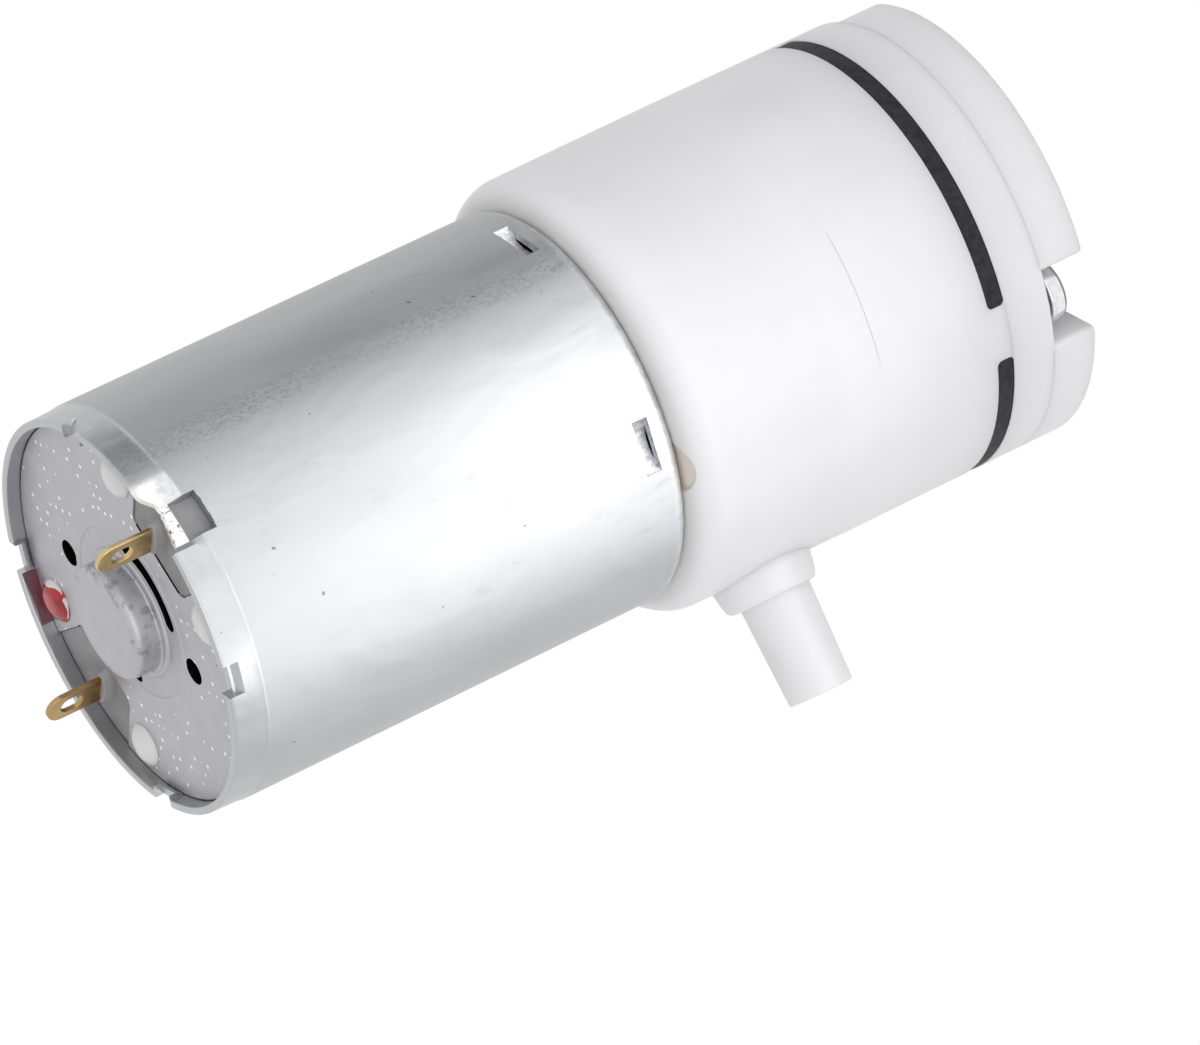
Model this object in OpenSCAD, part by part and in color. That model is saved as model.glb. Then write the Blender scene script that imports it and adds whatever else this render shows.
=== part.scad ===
// Mini air pump: a three chamber diaphragm pump head on a small brushed motor.
// The pump stands on the flat end of its cover. Z runs along the motor's axis
// towards the terminals, and the inlet nozzle points along X.

/* [Pump head] */
// Outside diameter of the pump head
head_d = 27.2; // [27:0.1:29]
// Thickness of the end cover
cover_t = 3.0; // [2.6:0.1:4]
// Thickness of the valve plate
plate_t = 2.85; // [2.6:0.05:3.6]
// Thickness of the diaphragm's clamped rim
rim_t = 1.15; // [0.9:0.05:1.5]
// Height of the diaphragm seat above the rim
seat_h = 7.65; // [6.8:0.05:8.5]
// Length of the crankcase
case_l = 13.05; // [12.6:0.05:14.5]
// Wall of the seat's skirt and of the crankcase
case_wall = 1.7; // [1.5:0.1:1.9]
// Thickness of the crankcase floor that the motor bolts to
case_floor = 2.4; // [2:0.1:2.8]
// Thickness of the seat's web that holds the three bores
seat_web = 2.4; // [1.8:0.1:2.6]
// Radius of the crankcase's rear shoulder
shoulder_r = 1.7; // [1:0.1:2]
// Draft of the crankcase, on the radius
case_draft = 0.1; // [0:0.05:0.2]
// Rounding of the end cover's outer edge
cover_edge = 0.25; // [0.1:0.05:0.5]
// Step of the rubber rim below the plastic on either side of it
rim_inset = 0.05; // [0:0.05:0.2]
// Turn of the head's screws and chambers against the nozzle
head_turn = -1.5; // [-3:0.5:3]

/* [Head screws] */
// Distance from the head's outside to the screws' axes
screw_inset = 2.3; // [2.2:0.1:2.5]
// Diameter of the head screws
screw_d = 2.0; // [1.6:0.1:2.2]
// Length of the head screws under the head
screw_l = 20; // [17:0.5:21]
// Diameter of the screw heads
screw_head_d = 3.8; // [3.4:0.1:4.2]
// Height of the screw heads
screw_head_h = 1.6; // [1.2:0.05:1.8]
// Clearance of the screw holes, on the radius
screw_play = 0.1; // [0.05:0.05:0.2]
// Width of the notches in the end cover
notch_w = 4.77; // [4.4:0.1:5.4]
// Distance from the screws' axes to the inner ends of the notches
notch_in = 2.4; // [2.2:0.1:2.8]
// Corner radius of the notches
notch_corner = 1.0; // [0.4:0.1:1.5]
// Diameter of the bosses that the screws run through
boss_d = 4.0; // [3.8:0.1:4.4]
// Diameter of the locating lugs on the seat
lug_d = 3.4; // [3.2:0.1:4]
// Diameter of the relief pockets in the crankcase's rear face
pocket_d = 3.4; // [2.8:0.1:3.8]
// Depth of the relief pockets
pocket_h = 0.8; // [0.4:0.1:1.2]

/* [Inlet nozzle] */
// Distance from the crankcase's rear face to the nozzle's axis
nozzle_drop = 6.65; // [6:0.05:7]
// Distance from the pump's axis to the nozzle's tip
nozzle_reach = 21.3; // [20:0.1:24]
// Outside diameter of the hose seat
nozzle_d = 4.24; // [4:0.02:4.6]
// Length of the straight hose seat
nozzle_seat_l = 4.6; // [3:0.1:4.8]
// Outside diameter where the nozzle meets its collar
nozzle_root_d = 4.5; // [4.3:0.1:5]
// Outside diameter of the nozzle's tip
nozzle_tip_d = 4.04; // [3.8:0.02:4.2]
// Length of the lead-in taper at the tip
nozzle_tip_l = 0.5; // [0.3:0.1:0.8]
// Bore of the nozzle
nozzle_bore_d = 2.6; // [2:0.1:3]
// Diameter of the collar at the wall
collar_d = 6.0; // [5.2:0.1:7]
// Diameter of the collar at its end
collar_tip_d = 5.7; // [5.2:0.1:6.4]
// Length of the collar beyond the head's outside
collar_l = 1.6; // [1:0.1:2]
// Rounding of the collar's edge
collar_edge = 0.5; // [0.1:0.1:0.6]

/* [Chambers] */
// Least distance from the head's outside to the seat's bores
bore_wall = 2.5; // [2.4:0.05:3]
// Least web between neighbouring bores of the seat
bore_web = 0.94; // [0.7:0.02:1.4]
// Wall of the diaphragm's cups
cup_wall = 0.6; // [0.4:0.05:0.65]
// Clearance of the cups in the seat's bores
cup_play = 0.4; // [0.3:0.05:0.45]
// Thickness of the cups' bottoms
cup_floor = 1.2; // [0.9:0.1:1.4]
// Gap between the cups and the plugs that fill their dead space
plug_room = 0.9; // [0.8:0.05:1.2]
// Wall and roof of the plugs
plug_wall = 0.9; // [0.7:0.05:1]
// Least distance between a plug's valve and its cup's bottom
plug_gap = 0.5; // [0.4:0.05:0.8]
// Distance from the plugs' edge to the umbrella inlet valves
inlet_valve_inset = 1.0; // [0.8:0.05:1.2]
// Thickness of the valves' discs
valve_t = 0.3; // [0.2:0.05:0.4]
// Diameter of the valves' stems
stem_d = 1.0; // [0.8:0.1:1.2]
// Diameter of the small air holes under the valves
port_d = 0.7; // [0.5:0.05:0.8]
// Diameter of the air passages beside the screws
passage_d = 1.8; // [1.4:0.1:2]
// Distance from the screws' axes to the air passages' axes
passage_inset = 4.3; // [4:0.1:4.5]
// Depth of the air channels in the valve plate
channel_h = 1.2; // [0.9:0.1:1.4]
// Diameter of the outlet valve
outlet_valve_d = 6.6; // [6.3:0.1:6.8]
// Clearance round the outlet valve
outlet_play = 0.4; // [0.3:0.05:0.5]
// Diameter of the exhaust holes in the end cover
exhaust_d = 1.2; // [0.8:0.1:1.6]
// Distance from the pump's axis to the exhaust holes
exhaust_r = 2.3; // [2:0.1:2.6]
// Depth of the exhaust pocket inside the end cover
exhaust_pocket = 1.0; // [0.6:0.1:1.5]

/* [Wobble drive] */
// Lean of the crank pin
tilt = 12; // [10:0.5:13]
// Height of the swing bracket's pivot above the seat's web
pivot_rise = 0.2; // [0.1:0.05:0.3]
// Diameter of the bracket's ball nose
ball_d = 1.6; // [1.4:0.1:1.8]
// Clearance of the ball nose in its dimple
ball_play = 0.1; // [0.05:0.05:0.15]
// Height of the arms' undersides above the pivot
arm_rise = 3.9; // [3.6:0.1:4.2]
// Thickness of the bracket's arms
arm_t = 1.4; // [1:0.1:1.6]
// Width of the bracket's arms
arm_w = 2.6; // [2:0.1:3.2]
// Diameter of the pads at the arms' ends
pad_d = 4.4; // [4:0.1:4.8]
// Diameter of the nipple holes in the pads
nipple_hole_d = 2.0; // [1.8:0.1:2.2]
// Clearance of the nipples in the pads
nipple_play = 0.1; // [0.05:0.05:0.2]
// Diameter of the nipples' heads
nipple_head_d = 2.8; // [2.6:0.1:3.2]
// Diameter of the bracket's hub
hub_d = 4.0; // [3.6:0.1:4.4]
// Height of the bracket's hub above the pivot
hub_rise = 7.7; // [7.4:0.1:7.9]
// Diameter of the crank pin
pin_d = 1.5; // [1.2:0.1:1.6]
// Running clearance of the crank pin, on the radius
pin_play = 0.03; // [0.02:0.01:0.06]
// Diameter of the eccentric wheel
wheel_d = 12.0; // [11:0.1:13]
// Thickness of the eccentric wheel's flange
wheel_flange = 1.8; // [1.4:0.1:2.4]
// Diameter of the eccentric wheel's hub
wheel_hub_d = 8.8; // [8.6:0.1:9.4]
// Axial clearance below and above the eccentric wheel
wheel_play = 0.25; // [0.2:0.05:0.35]

/* [Motor case] */
// Diameter of the motor
motor_d = 24.4; // [24:0.1:25]
// Length of the motor's can
motor_l = 30.6; // [30:0.1:33]
// Wall of the motor's can
can_wall = 0.6; // [0.5:0.05:0.7]
// Thickness of the can's front
can_front = 0.8; // [0.6:0.05:1]
// Outer radius of the can's front corner
can_corner = 0.8; // [0.4:0.1:1]
// Outside diameter of the bearing nose on the can's front
nose_d = 6.2; // [6:0.1:7]
// Height of the bearing nose
nose_h = 1.4; // [1:0.1:1.8]
// Clearance round the nose in the crankcase floor
nose_play = 0.1; // [0.05:0.05:0.3]
// Turn of the motor's symmetry plane about the axis
motor_turn = 106; // [104:1:108]
// Angle from the symmetry plane to the lanced stops
lance_turn = 36; // [32:1:40]
// Width of the lanced stops
lance_w = 3.3; // [2.6:0.1:4]
// Height of the lanced stops
lance_h = 0.9; // [0.7:0.05:1.1]
// Distance from the can's front to the lanced stops
lance_rise = 1.3; // [1:0.05:1.5]
// Inward push of the lanced stops' middle
lance_push = 0.9; // [0.7:0.05:1.1]
// Width of the windows near the can's rim
window_w = 2.9; // [2.4:0.1:3.6]
// Height of the windows
window_h = 2.4; // [1.8:0.1:2.6]
// Distance from the windows to the rim
window_drop = 0.85; // [0.7:0.05:1]
// Angle from the symmetry plane to the rim's stakes
stake_turn = 45; // [42:1:48]
// Width of the rim's stakes
stake_w = 1.9; // [1.4:0.1:2.4]
// Distance from the rim down to the end plate
plate_drop = 0.93; // [0.7:0.01:1.1]
// Distance from the can's outside to the axes of the screws that hold the motor
motor_screw_inset = 3.7; // [3.4:0.1:4]
// Diameter of the motor screws
motor_screw_d = 2.5; // [2:0.1:2.6]
// Length of the motor screws under the head
motor_screw_l = 4; // [3.6:0.1:4.4]
// Diameter of the motor screws' heads
motor_head_d = 4.0; // [3.6:0.1:4.2]
// Height of the motor screws' heads
motor_head_h = 1.5; // [1.2:0.1:1.6]
// Clearance round the motor screws' heads
motor_head_play = 0.2; // [0.1:0.05:0.3]

/* [Motor rear end] */
// Thickness of the steel end plate
end_plate_t = 0.9; // [0.7:0.05:1]
// Clearance of the end plate in the can
end_plate_play = 0.05; // [0.02:0.01:0.1]
// Diameter of the drawn bearing boss
rear_boss_d = 7.0; // [6.6:0.1:7.6]
// Height of the bearing boss
rear_boss_h = 1.8; // [1.5:0.1:2.2]
// Wall of the bearing boss
rear_boss_wall = 0.6; // [0.4:0.05:0.8]
// Rounding of the bearing boss
rear_boss_edge = 0.5; // [0.2:0.1:0.6]
// Diameter of the two vent holes
vent_d = 1.6; // [1.2:0.1:2]
// Distance from the end plate's edge to the vent holes' axes
vent_inset = 5.05; // [4.8:0.05:5.3]
// Angle from the symmetry plane to the vent holes
vent_turn = 60; // [56:1:64]
// Inner radius of the curved vent slots
slot_r = 4.2; // [4:0.05:4.3]
// Width of the curved vent slots
slot_w = 0.9; // [0.6:0.1:1]
// Length of the curved vent slots, in degrees
slot_span = 66; // [56:2:70]
// Lag of the curved vent slots behind the symmetry plane, in degrees
slot_lag = 3; // [0:1:6]
// Depth of the cutouts round the terminals
cutout_depth = 4.35; // [4.1:0.05:4.5]
// Half angle of the cutouts
cutout_turn = 20; // [18:1:21]
// Corner radius of the cutouts
cutout_corner = 0.8; // [0.4:0.1:1]
// Diameter of the heat staked posts
post_d = 1.6; // [1.2:0.1:1.8]
// Diameter of the heat staked domes
dome_d = 2.6; // [2.4:0.1:3]
// Height of the domes above the end plate
dome_h = 0.3; // [0.2:0.05:0.5]
// Distance from the end plate's edge to the posts' axes
post_inset = 1.75; // [1.65:0.05:2]
// Angle from the symmetry plane to the posts
post_turn = 30.5; // [29.5:0.5:32]
// Thickness of the nylon brush holder
holder_t = 2.0; // [1.6:0.1:2.4]
// Width of the terminals
terminal_w = 1.9; // [1.6:0.1:2.2]
// Thickness of the terminals
terminal_t = 0.3; // [0.25:0.05:0.5]
// Height of the terminals above the rim
terminal_rise = 3.05; // [2.6:0.05:5]
// Distance from the end plate's edge to the terminals
terminal_inset = 2.55; // [2.3:0.05:2.7]
// Angle from the symmetry plane to the terminals
terminal_turn = 4.2; // [0:0.2:6]
// Angle from the symmetry plane to the terminals' flats
terminal_twist = 16.7; // [0:0.1:20]
// Length of the eyes in the terminals
eye_l = 1.4; // [1.2:0.05:1.5]
// Width of the eyes in the terminals
eye_w = 1.0; // [0.8:0.05:1.1]
// Distance from a terminal's tip to the middle of its eye
eye_drop = 1.6; // [1.4:0.05:2]

/* [Motor inside] */
// Diameter of the shaft
shaft_d = 2.0; // [1.8:0.1:2.2]
// Running clearance of the shaft in its bushes, on the radius
shaft_play = 0.02; // [0.01:0.01:0.04]
// Length of the sintered bushes
bush_l = 2.4; // [2:0.1:2.8]
// Thickness of the ring magnets
magnet_t = 3.15; // [2.8:0.05:3.2]
// Half angle of each magnet
magnet_turn = 58; // [54:1:64]
// Glue gap behind the magnets
glue_gap = 0.05; // [0.02:0.01:0.1]
// Wire diameter of the clips between the magnets
clip_t = 0.5; // [0.4:0.1:0.7]
// Air gap between the magnets and the rotor
air_gap = 0.4; // [0.3:0.05:0.6]
// Distance from the magnets' front to the stack
stack_lag = 2.6; // [2.4:0.1:3]
// Width of the rotor's teeth
tooth_w = 3.2; // [2.8:0.1:3.6]
// Thickness of the rotor's pole shoes
shoe_t = 1.4; // [1.2:0.1:1.6]
// Half angle of the pole shoes
shoe_turn = 50; // [46:1:54]
// Diameter of the stack's hub
stack_hub_d = 5.6; // [5:0.1:6]
// Thickness of the windings on the teeth
winding_t = 1.6; // [1.2:0.1:1.8]
// Distance from the brush holder to the commutator's bars
comm_drop = 1.5; // [1.2:0.1:2]
// Diameter of the commutator
comm_d = 4.8; // [4.4:0.1:5.2]
// Length of the commutator's bars
comm_l = 4.4; // [4:0.1:4.6]
// Thickness of the commutator's bars
bar_t = 0.5; // [0.4:0.05:0.6]
// Gap between the commutator's bars
bar_gap = 0.4; // [0.3:0.05:0.5]
// Thickness of the carbon brushes, along the radius
brush_t = 1.4; // [1:0.1:1.8]
// Width of the carbon brushes
brush_w = 1.8; // [1.4:0.1:2]
// Height of the carbon brushes
brush_h = 2.2; // [1.8:0.1:2.4]
// Thickness of the brush arms
leaf_t = 0.2; // [0.15:0.05:0.3]
// Distance from the symmetry plane to the bend of a brush arm
arm_bend = 4.6; // [4:0.1:5]
// Height of the brush arms' grip on the terminals
arm_grip = 0.7; // [0.5:0.1:1]

/* [Hidden] */

$fn = 96;
// Overlap that lets a cut pass through a face
cut = 1;
// Gap between pieces that only stand beside each other
gap = 0.1;
chambers = 3;
step = 360 / chambers;
screw_turn = head_turn + step / 2;

// Levels along the axis, from the end cover's face
z_plate = cover_t;
z_rim = z_plate + plate_t;
z_seat = z_rim + rim_t;
z_case = z_seat + seat_h;
z_motor = z_case + case_l;
z_floor = z_motor - case_floor;
z_end = z_motor + motor_l;

// Radii of the head
head_r = head_d / 2;
case_r = head_r - case_wall;
screw_r = head_r - screw_inset;
passage_r = screw_r - passage_inset;

// Three equal bores that leave the wall outside them and the web between them
pitch_r = (2 * (head_r - bore_wall) + bore_web) / (2 + sqrt(3));
bore_r = head_r - bore_wall - pitch_r;
cup_out_r = bore_r - cup_play;
cup_r = cup_out_r - cup_wall;
plug_r = cup_r - plug_room;
inlet_valve_r = plug_r - inlet_valve_inset;

// Wobble drive
pivot_z = z_seat + seat_web + pivot_rise;
nose_floor = 2.1;
end_play = 0.1;
pin_r = pin_d / 2;
shaft_r = shaft_d / 2;
pin_web = 0.33;
wheel_z = pivot_z + hub_rise * cos(tilt) + hub_d / 2 * sin(tilt) + wheel_play;
wheel_top = z_floor - motor_head_h - wheel_play;
pin_roof = 0.9;
pin_top = (wheel_top - pin_roof - pivot_z) / cos(tilt);
shaft_tip = pivot_z + (shaft_r + pin_r / cos(tilt) + pin_web) / tan(tilt);

// Chambers
cup_top = arm_rise - 0.02;
cup_low = cup_top - cup_floor;
plug_top = pivot_z - (pitch_r + plug_r) * sin(tilt) + cup_low * cos(tilt) - valve_t - plug_gap;
outlet_pocket_r = outlet_valve_d / 2 + outlet_play;
outlet_pocket_h = 1.4;
gallery_wall = 0.8;
gallery_in = outlet_pocket_r + gallery_wall;
gallery_out = passage_r + passage_d / 2 + gap;
stem_grip = 0.2;
bulb_h = 0.6;

// Motor
can_r = motor_d / 2;
can_in = can_r - can_wall;
z_can_floor = z_motor + can_front;
z_lance = z_motor + lance_rise;
z_magnet = z_lance + lance_h + gap;
z_plate_top = z_end - plate_drop;
z_plate_low = z_plate_top - end_plate_t;
z_holder = z_plate_low - holder_t;
holder_r = can_in - gap;
end_plate_r = can_in - end_plate_play;
motor_screw_r = can_r - motor_screw_inset;
vent_r = end_plate_r - vent_inset;
cutout_r = end_plate_r - cutout_depth;
post_r = end_plate_r - post_inset;
terminal_r = end_plate_r - terminal_inset;
bush_r = nose_d / 2 - can_wall;
nose_lip = 0.4;
rear_bush_r = rear_boss_d / 2 - rear_boss_wall;
z_boss_top = z_plate_top + rear_boss_h;
z_shaft_end = z_boss_top - rear_boss_wall - 2 * gap;
magnet_out = can_in - glue_gap;
magnet_in = magnet_out - magnet_t;
stack_r = magnet_in - air_gap;
winding_in = stack_hub_d / 2 + 2 * gap;
winding_out = stack_r - shoe_t - gap;
comm_r = comm_d / 2;
z_comm_end = z_holder - comm_drop;
z_comm = z_comm_end - comm_l;
z_brush = z_comm + (comm_l - brush_h) / 2;
z_terminal = z_brush + brush_h - arm_grip;
coil_gap = 0.4;
z_stack = z_magnet + stack_lag;
z_stack_end = z_comm - winding_t - coil_gap;
stack_l = z_stack_end - z_stack;
magnet_l = z_comm - z_magnet;
z_terminal_tip = z_end + terminal_rise;
front_bush_z = z_motor - nose_h + nose_lip;
rear_bush_z = z_boss_top - rear_boss_wall - 5 * gap - bush_l;

plastic = [0.93, 0.93, 0.92];
steel = [0.76, 0.77, 0.79];
black_rubber = [0.1, 0.1, 0.1];
brass = [0.8, 0.62, 0.27];
copper = [0.75, 0.4, 0.2];

// Round bar from one height to another
module bar(r, z0, z1) {
    translate([0, 0, z0]) cylinder(r = r, h = z1 - z0);
}

// Round tube from one height to another
module tube(r_out, r_in, z0, z1) {
    difference() {
        bar(r_out, z0, z1);
        bar(r_in, z0 - cut, z1 + cut);
    }
}

// Flat outline raised from one height to another
module layer(z0, z1) {
    translate([0, 0, z0]) linear_extrude(z1 - z0) children();
}

module ring(r_out, r_in) {
    difference() {
        circle(r = r_out);
        circle(r = r_in);
    }
}

// Rectangle with round corners, centred on the origin
module round_rect(w, h, r) {
    square([w - 2 * r, h], center = true);
    square([w, h - 2 * r], center = true);
    for (x = [-1, 1], y = [-1, 1])
        translate([x * (w / 2 - r), y * (h / 2 - r)]) circle(r = r);
}

// Flat sector between two radii, centred on the X axis
module sector(r_out, r_in, half_angle) {
    reach = 2 * r_out;
    intersection() {
        difference() {
            circle(r = r_out);
            circle(r = r_in);
        }
        polygon([[0, 0], [reach * cos(half_angle), -reach * sin(half_angle)], [reach * 2, 0],
            [reach * cos(half_angle), reach * sin(half_angle)]]);
    }
}

module at_screws() {
    for (i = [0:chambers - 1])
        rotate(screw_turn + step * i) translate([screw_r, 0, 0]) children();
}

module at_passages() {
    for (i = [0:chambers - 1])
        rotate(screw_turn + step * i) translate([passage_r, 0, 0]) children();
}

module at_chambers() {
    for (i = [0:chambers - 1])
        rotate(head_turn + step * i) translate([pitch_r, 0, 0]) children();
}

// Frame of the swing bracket, which leans with the crank pin about its pivot
module leaning() {
    translate([0, 0, pivot_z]) rotate([0, tilt, 0]) children();
}

// Turn to the motor's symmetry plane, on both sides of the axis
module motor_sides() {
    for (side = [0, 180]) rotate(motor_turn + side) children();
}

// Cover with three notches for the screws and an exhaust pocket inside
module end_cover() {
    notch_out = screw_inset + 2 * notch_corner;
    color(plastic) difference() {
        rotate_extrude() {
            square([head_r - cover_edge, cover_t]);
            translate([0, cover_edge]) square([head_r, cover_t - cover_edge]);
            translate([head_r - cover_edge, cover_edge]) circle(r = cover_edge);
        }
        at_screws() layer(-cut, cover_t + cut) translate([(notch_out - notch_in) / 2, 0])
            round_rect(notch_out + notch_in, notch_w, notch_corner);
        bar(outlet_pocket_r, cover_t - exhaust_pocket, cover_t + cut);
        for (i = [0:chambers - 1])
            rotate(screw_turn + step * i) translate([exhaust_r, 0, 0])
                bar(exhaust_d / 2, -cut, cover_t);
    }
}

// Plate with the plugs, the intake gallery and the outlet valve's pocket
module valve_plate() {
    port_r = (inlet_valve_r + stem_d / 2) / 2;
    outlet_port_r = pitch_r - (plug_r + cup_r) / 2;
    color(plastic) difference() {
        union() {
            bar(head_r, z_plate, z_rim);
            at_chambers() bar(plug_r, z_plate + channel_h, plug_top);
        }
        difference() {
            bar(gallery_out, z_plate - cut, z_plate + channel_h);
            bar(gallery_in, z_plate - 2 * cut, z_rim);
        }
        bar(outlet_pocket_r, z_plate - cut, z_plate + outlet_pocket_h);
        bar(stem_d / 2, z_plate, z_rim + cut);
        at_chambers() {
            bar(plug_r - plug_wall, z_plate + channel_h - cut, plug_top - plug_wall);
            bar(stem_d / 2, plug_top - 2 * plug_wall, plug_top + cut);
            for (a = [45:90:315])
                rotate(a) translate([port_r, 0, 0]) bar(port_d / 2, z_rim, plug_top + cut);
        }
        for (i = [0:chambers - 1])
            rotate(head_turn + step * i) translate([outlet_port_r, 0, 0])
                bar(port_d / 2, z_plate, z_rim + cut);
        at_passages() bar(passage_d / 2, z_plate, z_rim + cut);
        at_screws() bar(screw_d / 2 + screw_play, z_plate - cut, z_rim + cut);
    }
}

// Umbrella valve of an inlet port, seated on the roof of its plug
module inlet_valve(i) {
    color(black_rubber) rotate(head_turn + step * (i - 1)) translate([pitch_r, 0, 0]) {
        bar(inlet_valve_r, plug_top, plug_top + valve_t);
        bar(stem_d / 2, plug_top - plug_wall, plug_top + valve_t);
        bar(stem_d / 2 + stem_grip, plug_top - plug_wall - bulb_h, plug_top - plug_wall);
    }
}

// Umbrella valve of the three outlet ports, which opens into the exhaust pocket
module outlet_valve() {
    seat = z_plate + outlet_pocket_h;
    color(black_rubber) {
        bar(outlet_valve_d / 2, seat - valve_t, seat);
        bar(stem_d / 2, seat - valve_t, z_rim);
        bar(stem_d / 2 + stem_grip, z_rim, z_rim + bulb_h);
    }
}

// Point of the leaning frame, given in the part's own frame
function lean(p) = [
    p[0] * cos(tilt) + p[2] * sin(tilt),
    p[1],
    pivot_z - p[0] * sin(tilt) + p[2] * cos(tilt)];

// Ring of a cup's wall: blend 0 lies flat at height z, and blend 1 leans with
// the bracket at height h above the pivot
function cup_ring(turn, r, z, h, blend, count) = [
    for (k = [0:count - 1])
        let (x = pitch_r * cos(turn) + r * cos(360 * k / count),
             y = pitch_r * sin(turn) + r * sin(360 * k / count))
        (1 - blend) * [x, y, z] + blend * lean([x, y, h])];

// Thin cup, from its mouth in the sheet up to the bottom that the bracket moves
module cup(turn) {
    count = 28;
    root = z_rim;
    flex = z_seat + seat_web / 2;
    bulge = 0.15;
    round_in = 0.5;
    rings = [
        [cup_r - round_in, root, cup_low, 1],
        [cup_r + bulge, flex, cup_low, 0.66],
        [cup_r + bulge, flex, cup_low, 0.33],
        [cup_r, flex, cup_low, 0],
        [cup_r, root, cup_low, 0],
        [cup_out_r, root, cup_low, 0],
        [cup_out_r, flex, cup_low, 0],
        [cup_out_r + bulge, flex, cup_low, 0.33],
        [cup_out_r + bulge, flex, cup_low, 0.66],
        [cup_out_r, root, cup_low + cup_floor / 3, 1],
        [cup_out_r - round_in, root, cup_top, 1]];
    last = len(rings) - 1;
    points = [for (g = rings) each cup_ring(turn, g[0], g[1], g[2], g[3], count)];
    walls = [for (g = [0:last - 1], k = [0:count - 1])
        let (n = (k + 1) % count)
        each [[g * count + n, g * count + k, (g + 1) * count + n],
              [(g + 1) * count + n, g * count + k, (g + 1) * count + k]]];
    ends = [for (k = [1:count - 2])
        each [[0, k, k + 1], [last * count, last * count + k + 1, last * count + k]]];
    polyhedron(points = points, faces = concat(walls, ends));
}

// Rubber diaphragm: clamped sheet, three cups and the nipples on their bottoms
module diaphragm() {
    nipple_r = nipple_hole_d / 2 - nipple_play;
    grip_gap = 0.05;
    nipple_head_h = 1.1;
    color(black_rubber) {
        difference() {
            bar(head_r - rim_inset, z_rim, z_seat);
            at_chambers() bar(cup_r + cup_wall / 2, z_rim - cut, z_seat + cut);
            at_passages() bar(passage_d / 2, z_rim - cut, z_seat + cut);
            bar(stem_d / 2 + 2 * stem_grip, z_rim - cut, z_seat + cut);
            at_screws() {
                bar(lug_d / 2, z_rim - cut, z_seat + cut);
                translate([0, -lug_d / 2, z_rim - cut])
                    cube([screw_inset + cut, lug_d, rim_t + 2 * cut]);
            }
        }
        for (i = [0:chambers - 1]) cup(head_turn + step * i);
        leaning() at_chambers() {
            bar(nipple_r, cup_low + cup_floor / 2, arm_rise + arm_t + grip_gap);
            translate([0, 0, arm_rise + arm_t + grip_gap])
                cylinder(r1 = nipple_head_d / 2, r2 = nipple_r * 0.7, h = nipple_head_h);
        }
    }
}

// Seat that clamps the diaphragm: three bores, locating lugs and a skirt with a spigot
module diaphragm_seat() {
    skirt_z = z_seat + seat_web;
    spigot_h = 0.8;
    spigot_t = 0.6;
    spigot_play = 0.05;
    spigot_in = case_r - spigot_t;
    color(plastic) difference() {
        union() {
            layer(z_rim, z_seat) difference() {
                intersection() {
                    circle(r = head_r);
                    at_screws() {
                        circle(r = lug_d / 2);
                        translate([0, -lug_d / 2]) square([screw_inset + cut, lug_d]);
                    }
                }
                screw_holes();
            }
            layer(z_seat, skirt_z) difference() {
                circle(r = head_r);
                at_chambers() circle(r = bore_r);
                at_passages() circle(r = passage_d / 2);
                screw_holes();
            }
            layer(skirt_z, z_case) difference() {
                union() {
                    ring(head_r, spigot_in);
                    bosses();
                }
                screw_holes();
            }
            layer(z_case, z_case + spigot_h) difference() {
                ring(case_r - spigot_play, spigot_in);
                at_screws() circle(r = boss_d / 2 + 2 * spigot_play);
            }
        }
        translate([0, 0, pivot_z]) sphere(r = ball_d / 2 + ball_play);
    }
}

// Flat outlines of what repeats at the screws
module screw_holes() {
    at_screws() circle(r = screw_d / 2 + screw_play);
}

module bosses() {
    intersection() {
        circle(r = case_r + case_wall / 2);
        at_screws() circle(r = boss_d / 2);
    }
}

// Outside of the crankcase: drafted wall and round rear shoulder
module crankcase_profile() {
    rear_r = head_r - case_draft;
    polygon([[0, z_case], [head_r, z_case], [rear_r, z_motor - shoulder_r],
        [rear_r - shoulder_r, z_motor - shoulder_r], [rear_r - shoulder_r, z_motor], [0, z_motor]]);
    translate([rear_r - shoulder_r, z_motor - shoulder_r]) intersection() {
        circle(r = shoulder_r);
        square(shoulder_r);
    }
}

// Hose nozzle and its collar, drawn along Z
module nozzle_profile() {
    collar_end = head_r + collar_l;
    seat_end = nozzle_reach - nozzle_tip_l;
    seat_start = seat_end - nozzle_seat_l;
    inside = case_r + case_wall / 2;
    collar_tip_r = collar_tip_d / 2;
    polygon([[0, inside], [collar_d / 2, inside], [collar_tip_r, collar_end - collar_edge],
        [collar_tip_r - collar_edge, collar_end], [0, collar_end]]);
    translate([collar_tip_r - collar_edge, collar_end - collar_edge]) circle(r = collar_edge);
    polygon([[0, inside], [nozzle_root_d / 2, inside], [nozzle_root_d / 2, collar_end],
        [nozzle_d / 2, seat_start], [nozzle_d / 2, seat_end], [nozzle_tip_d / 2, nozzle_reach],
        [0, nozzle_reach]]);
}

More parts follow.
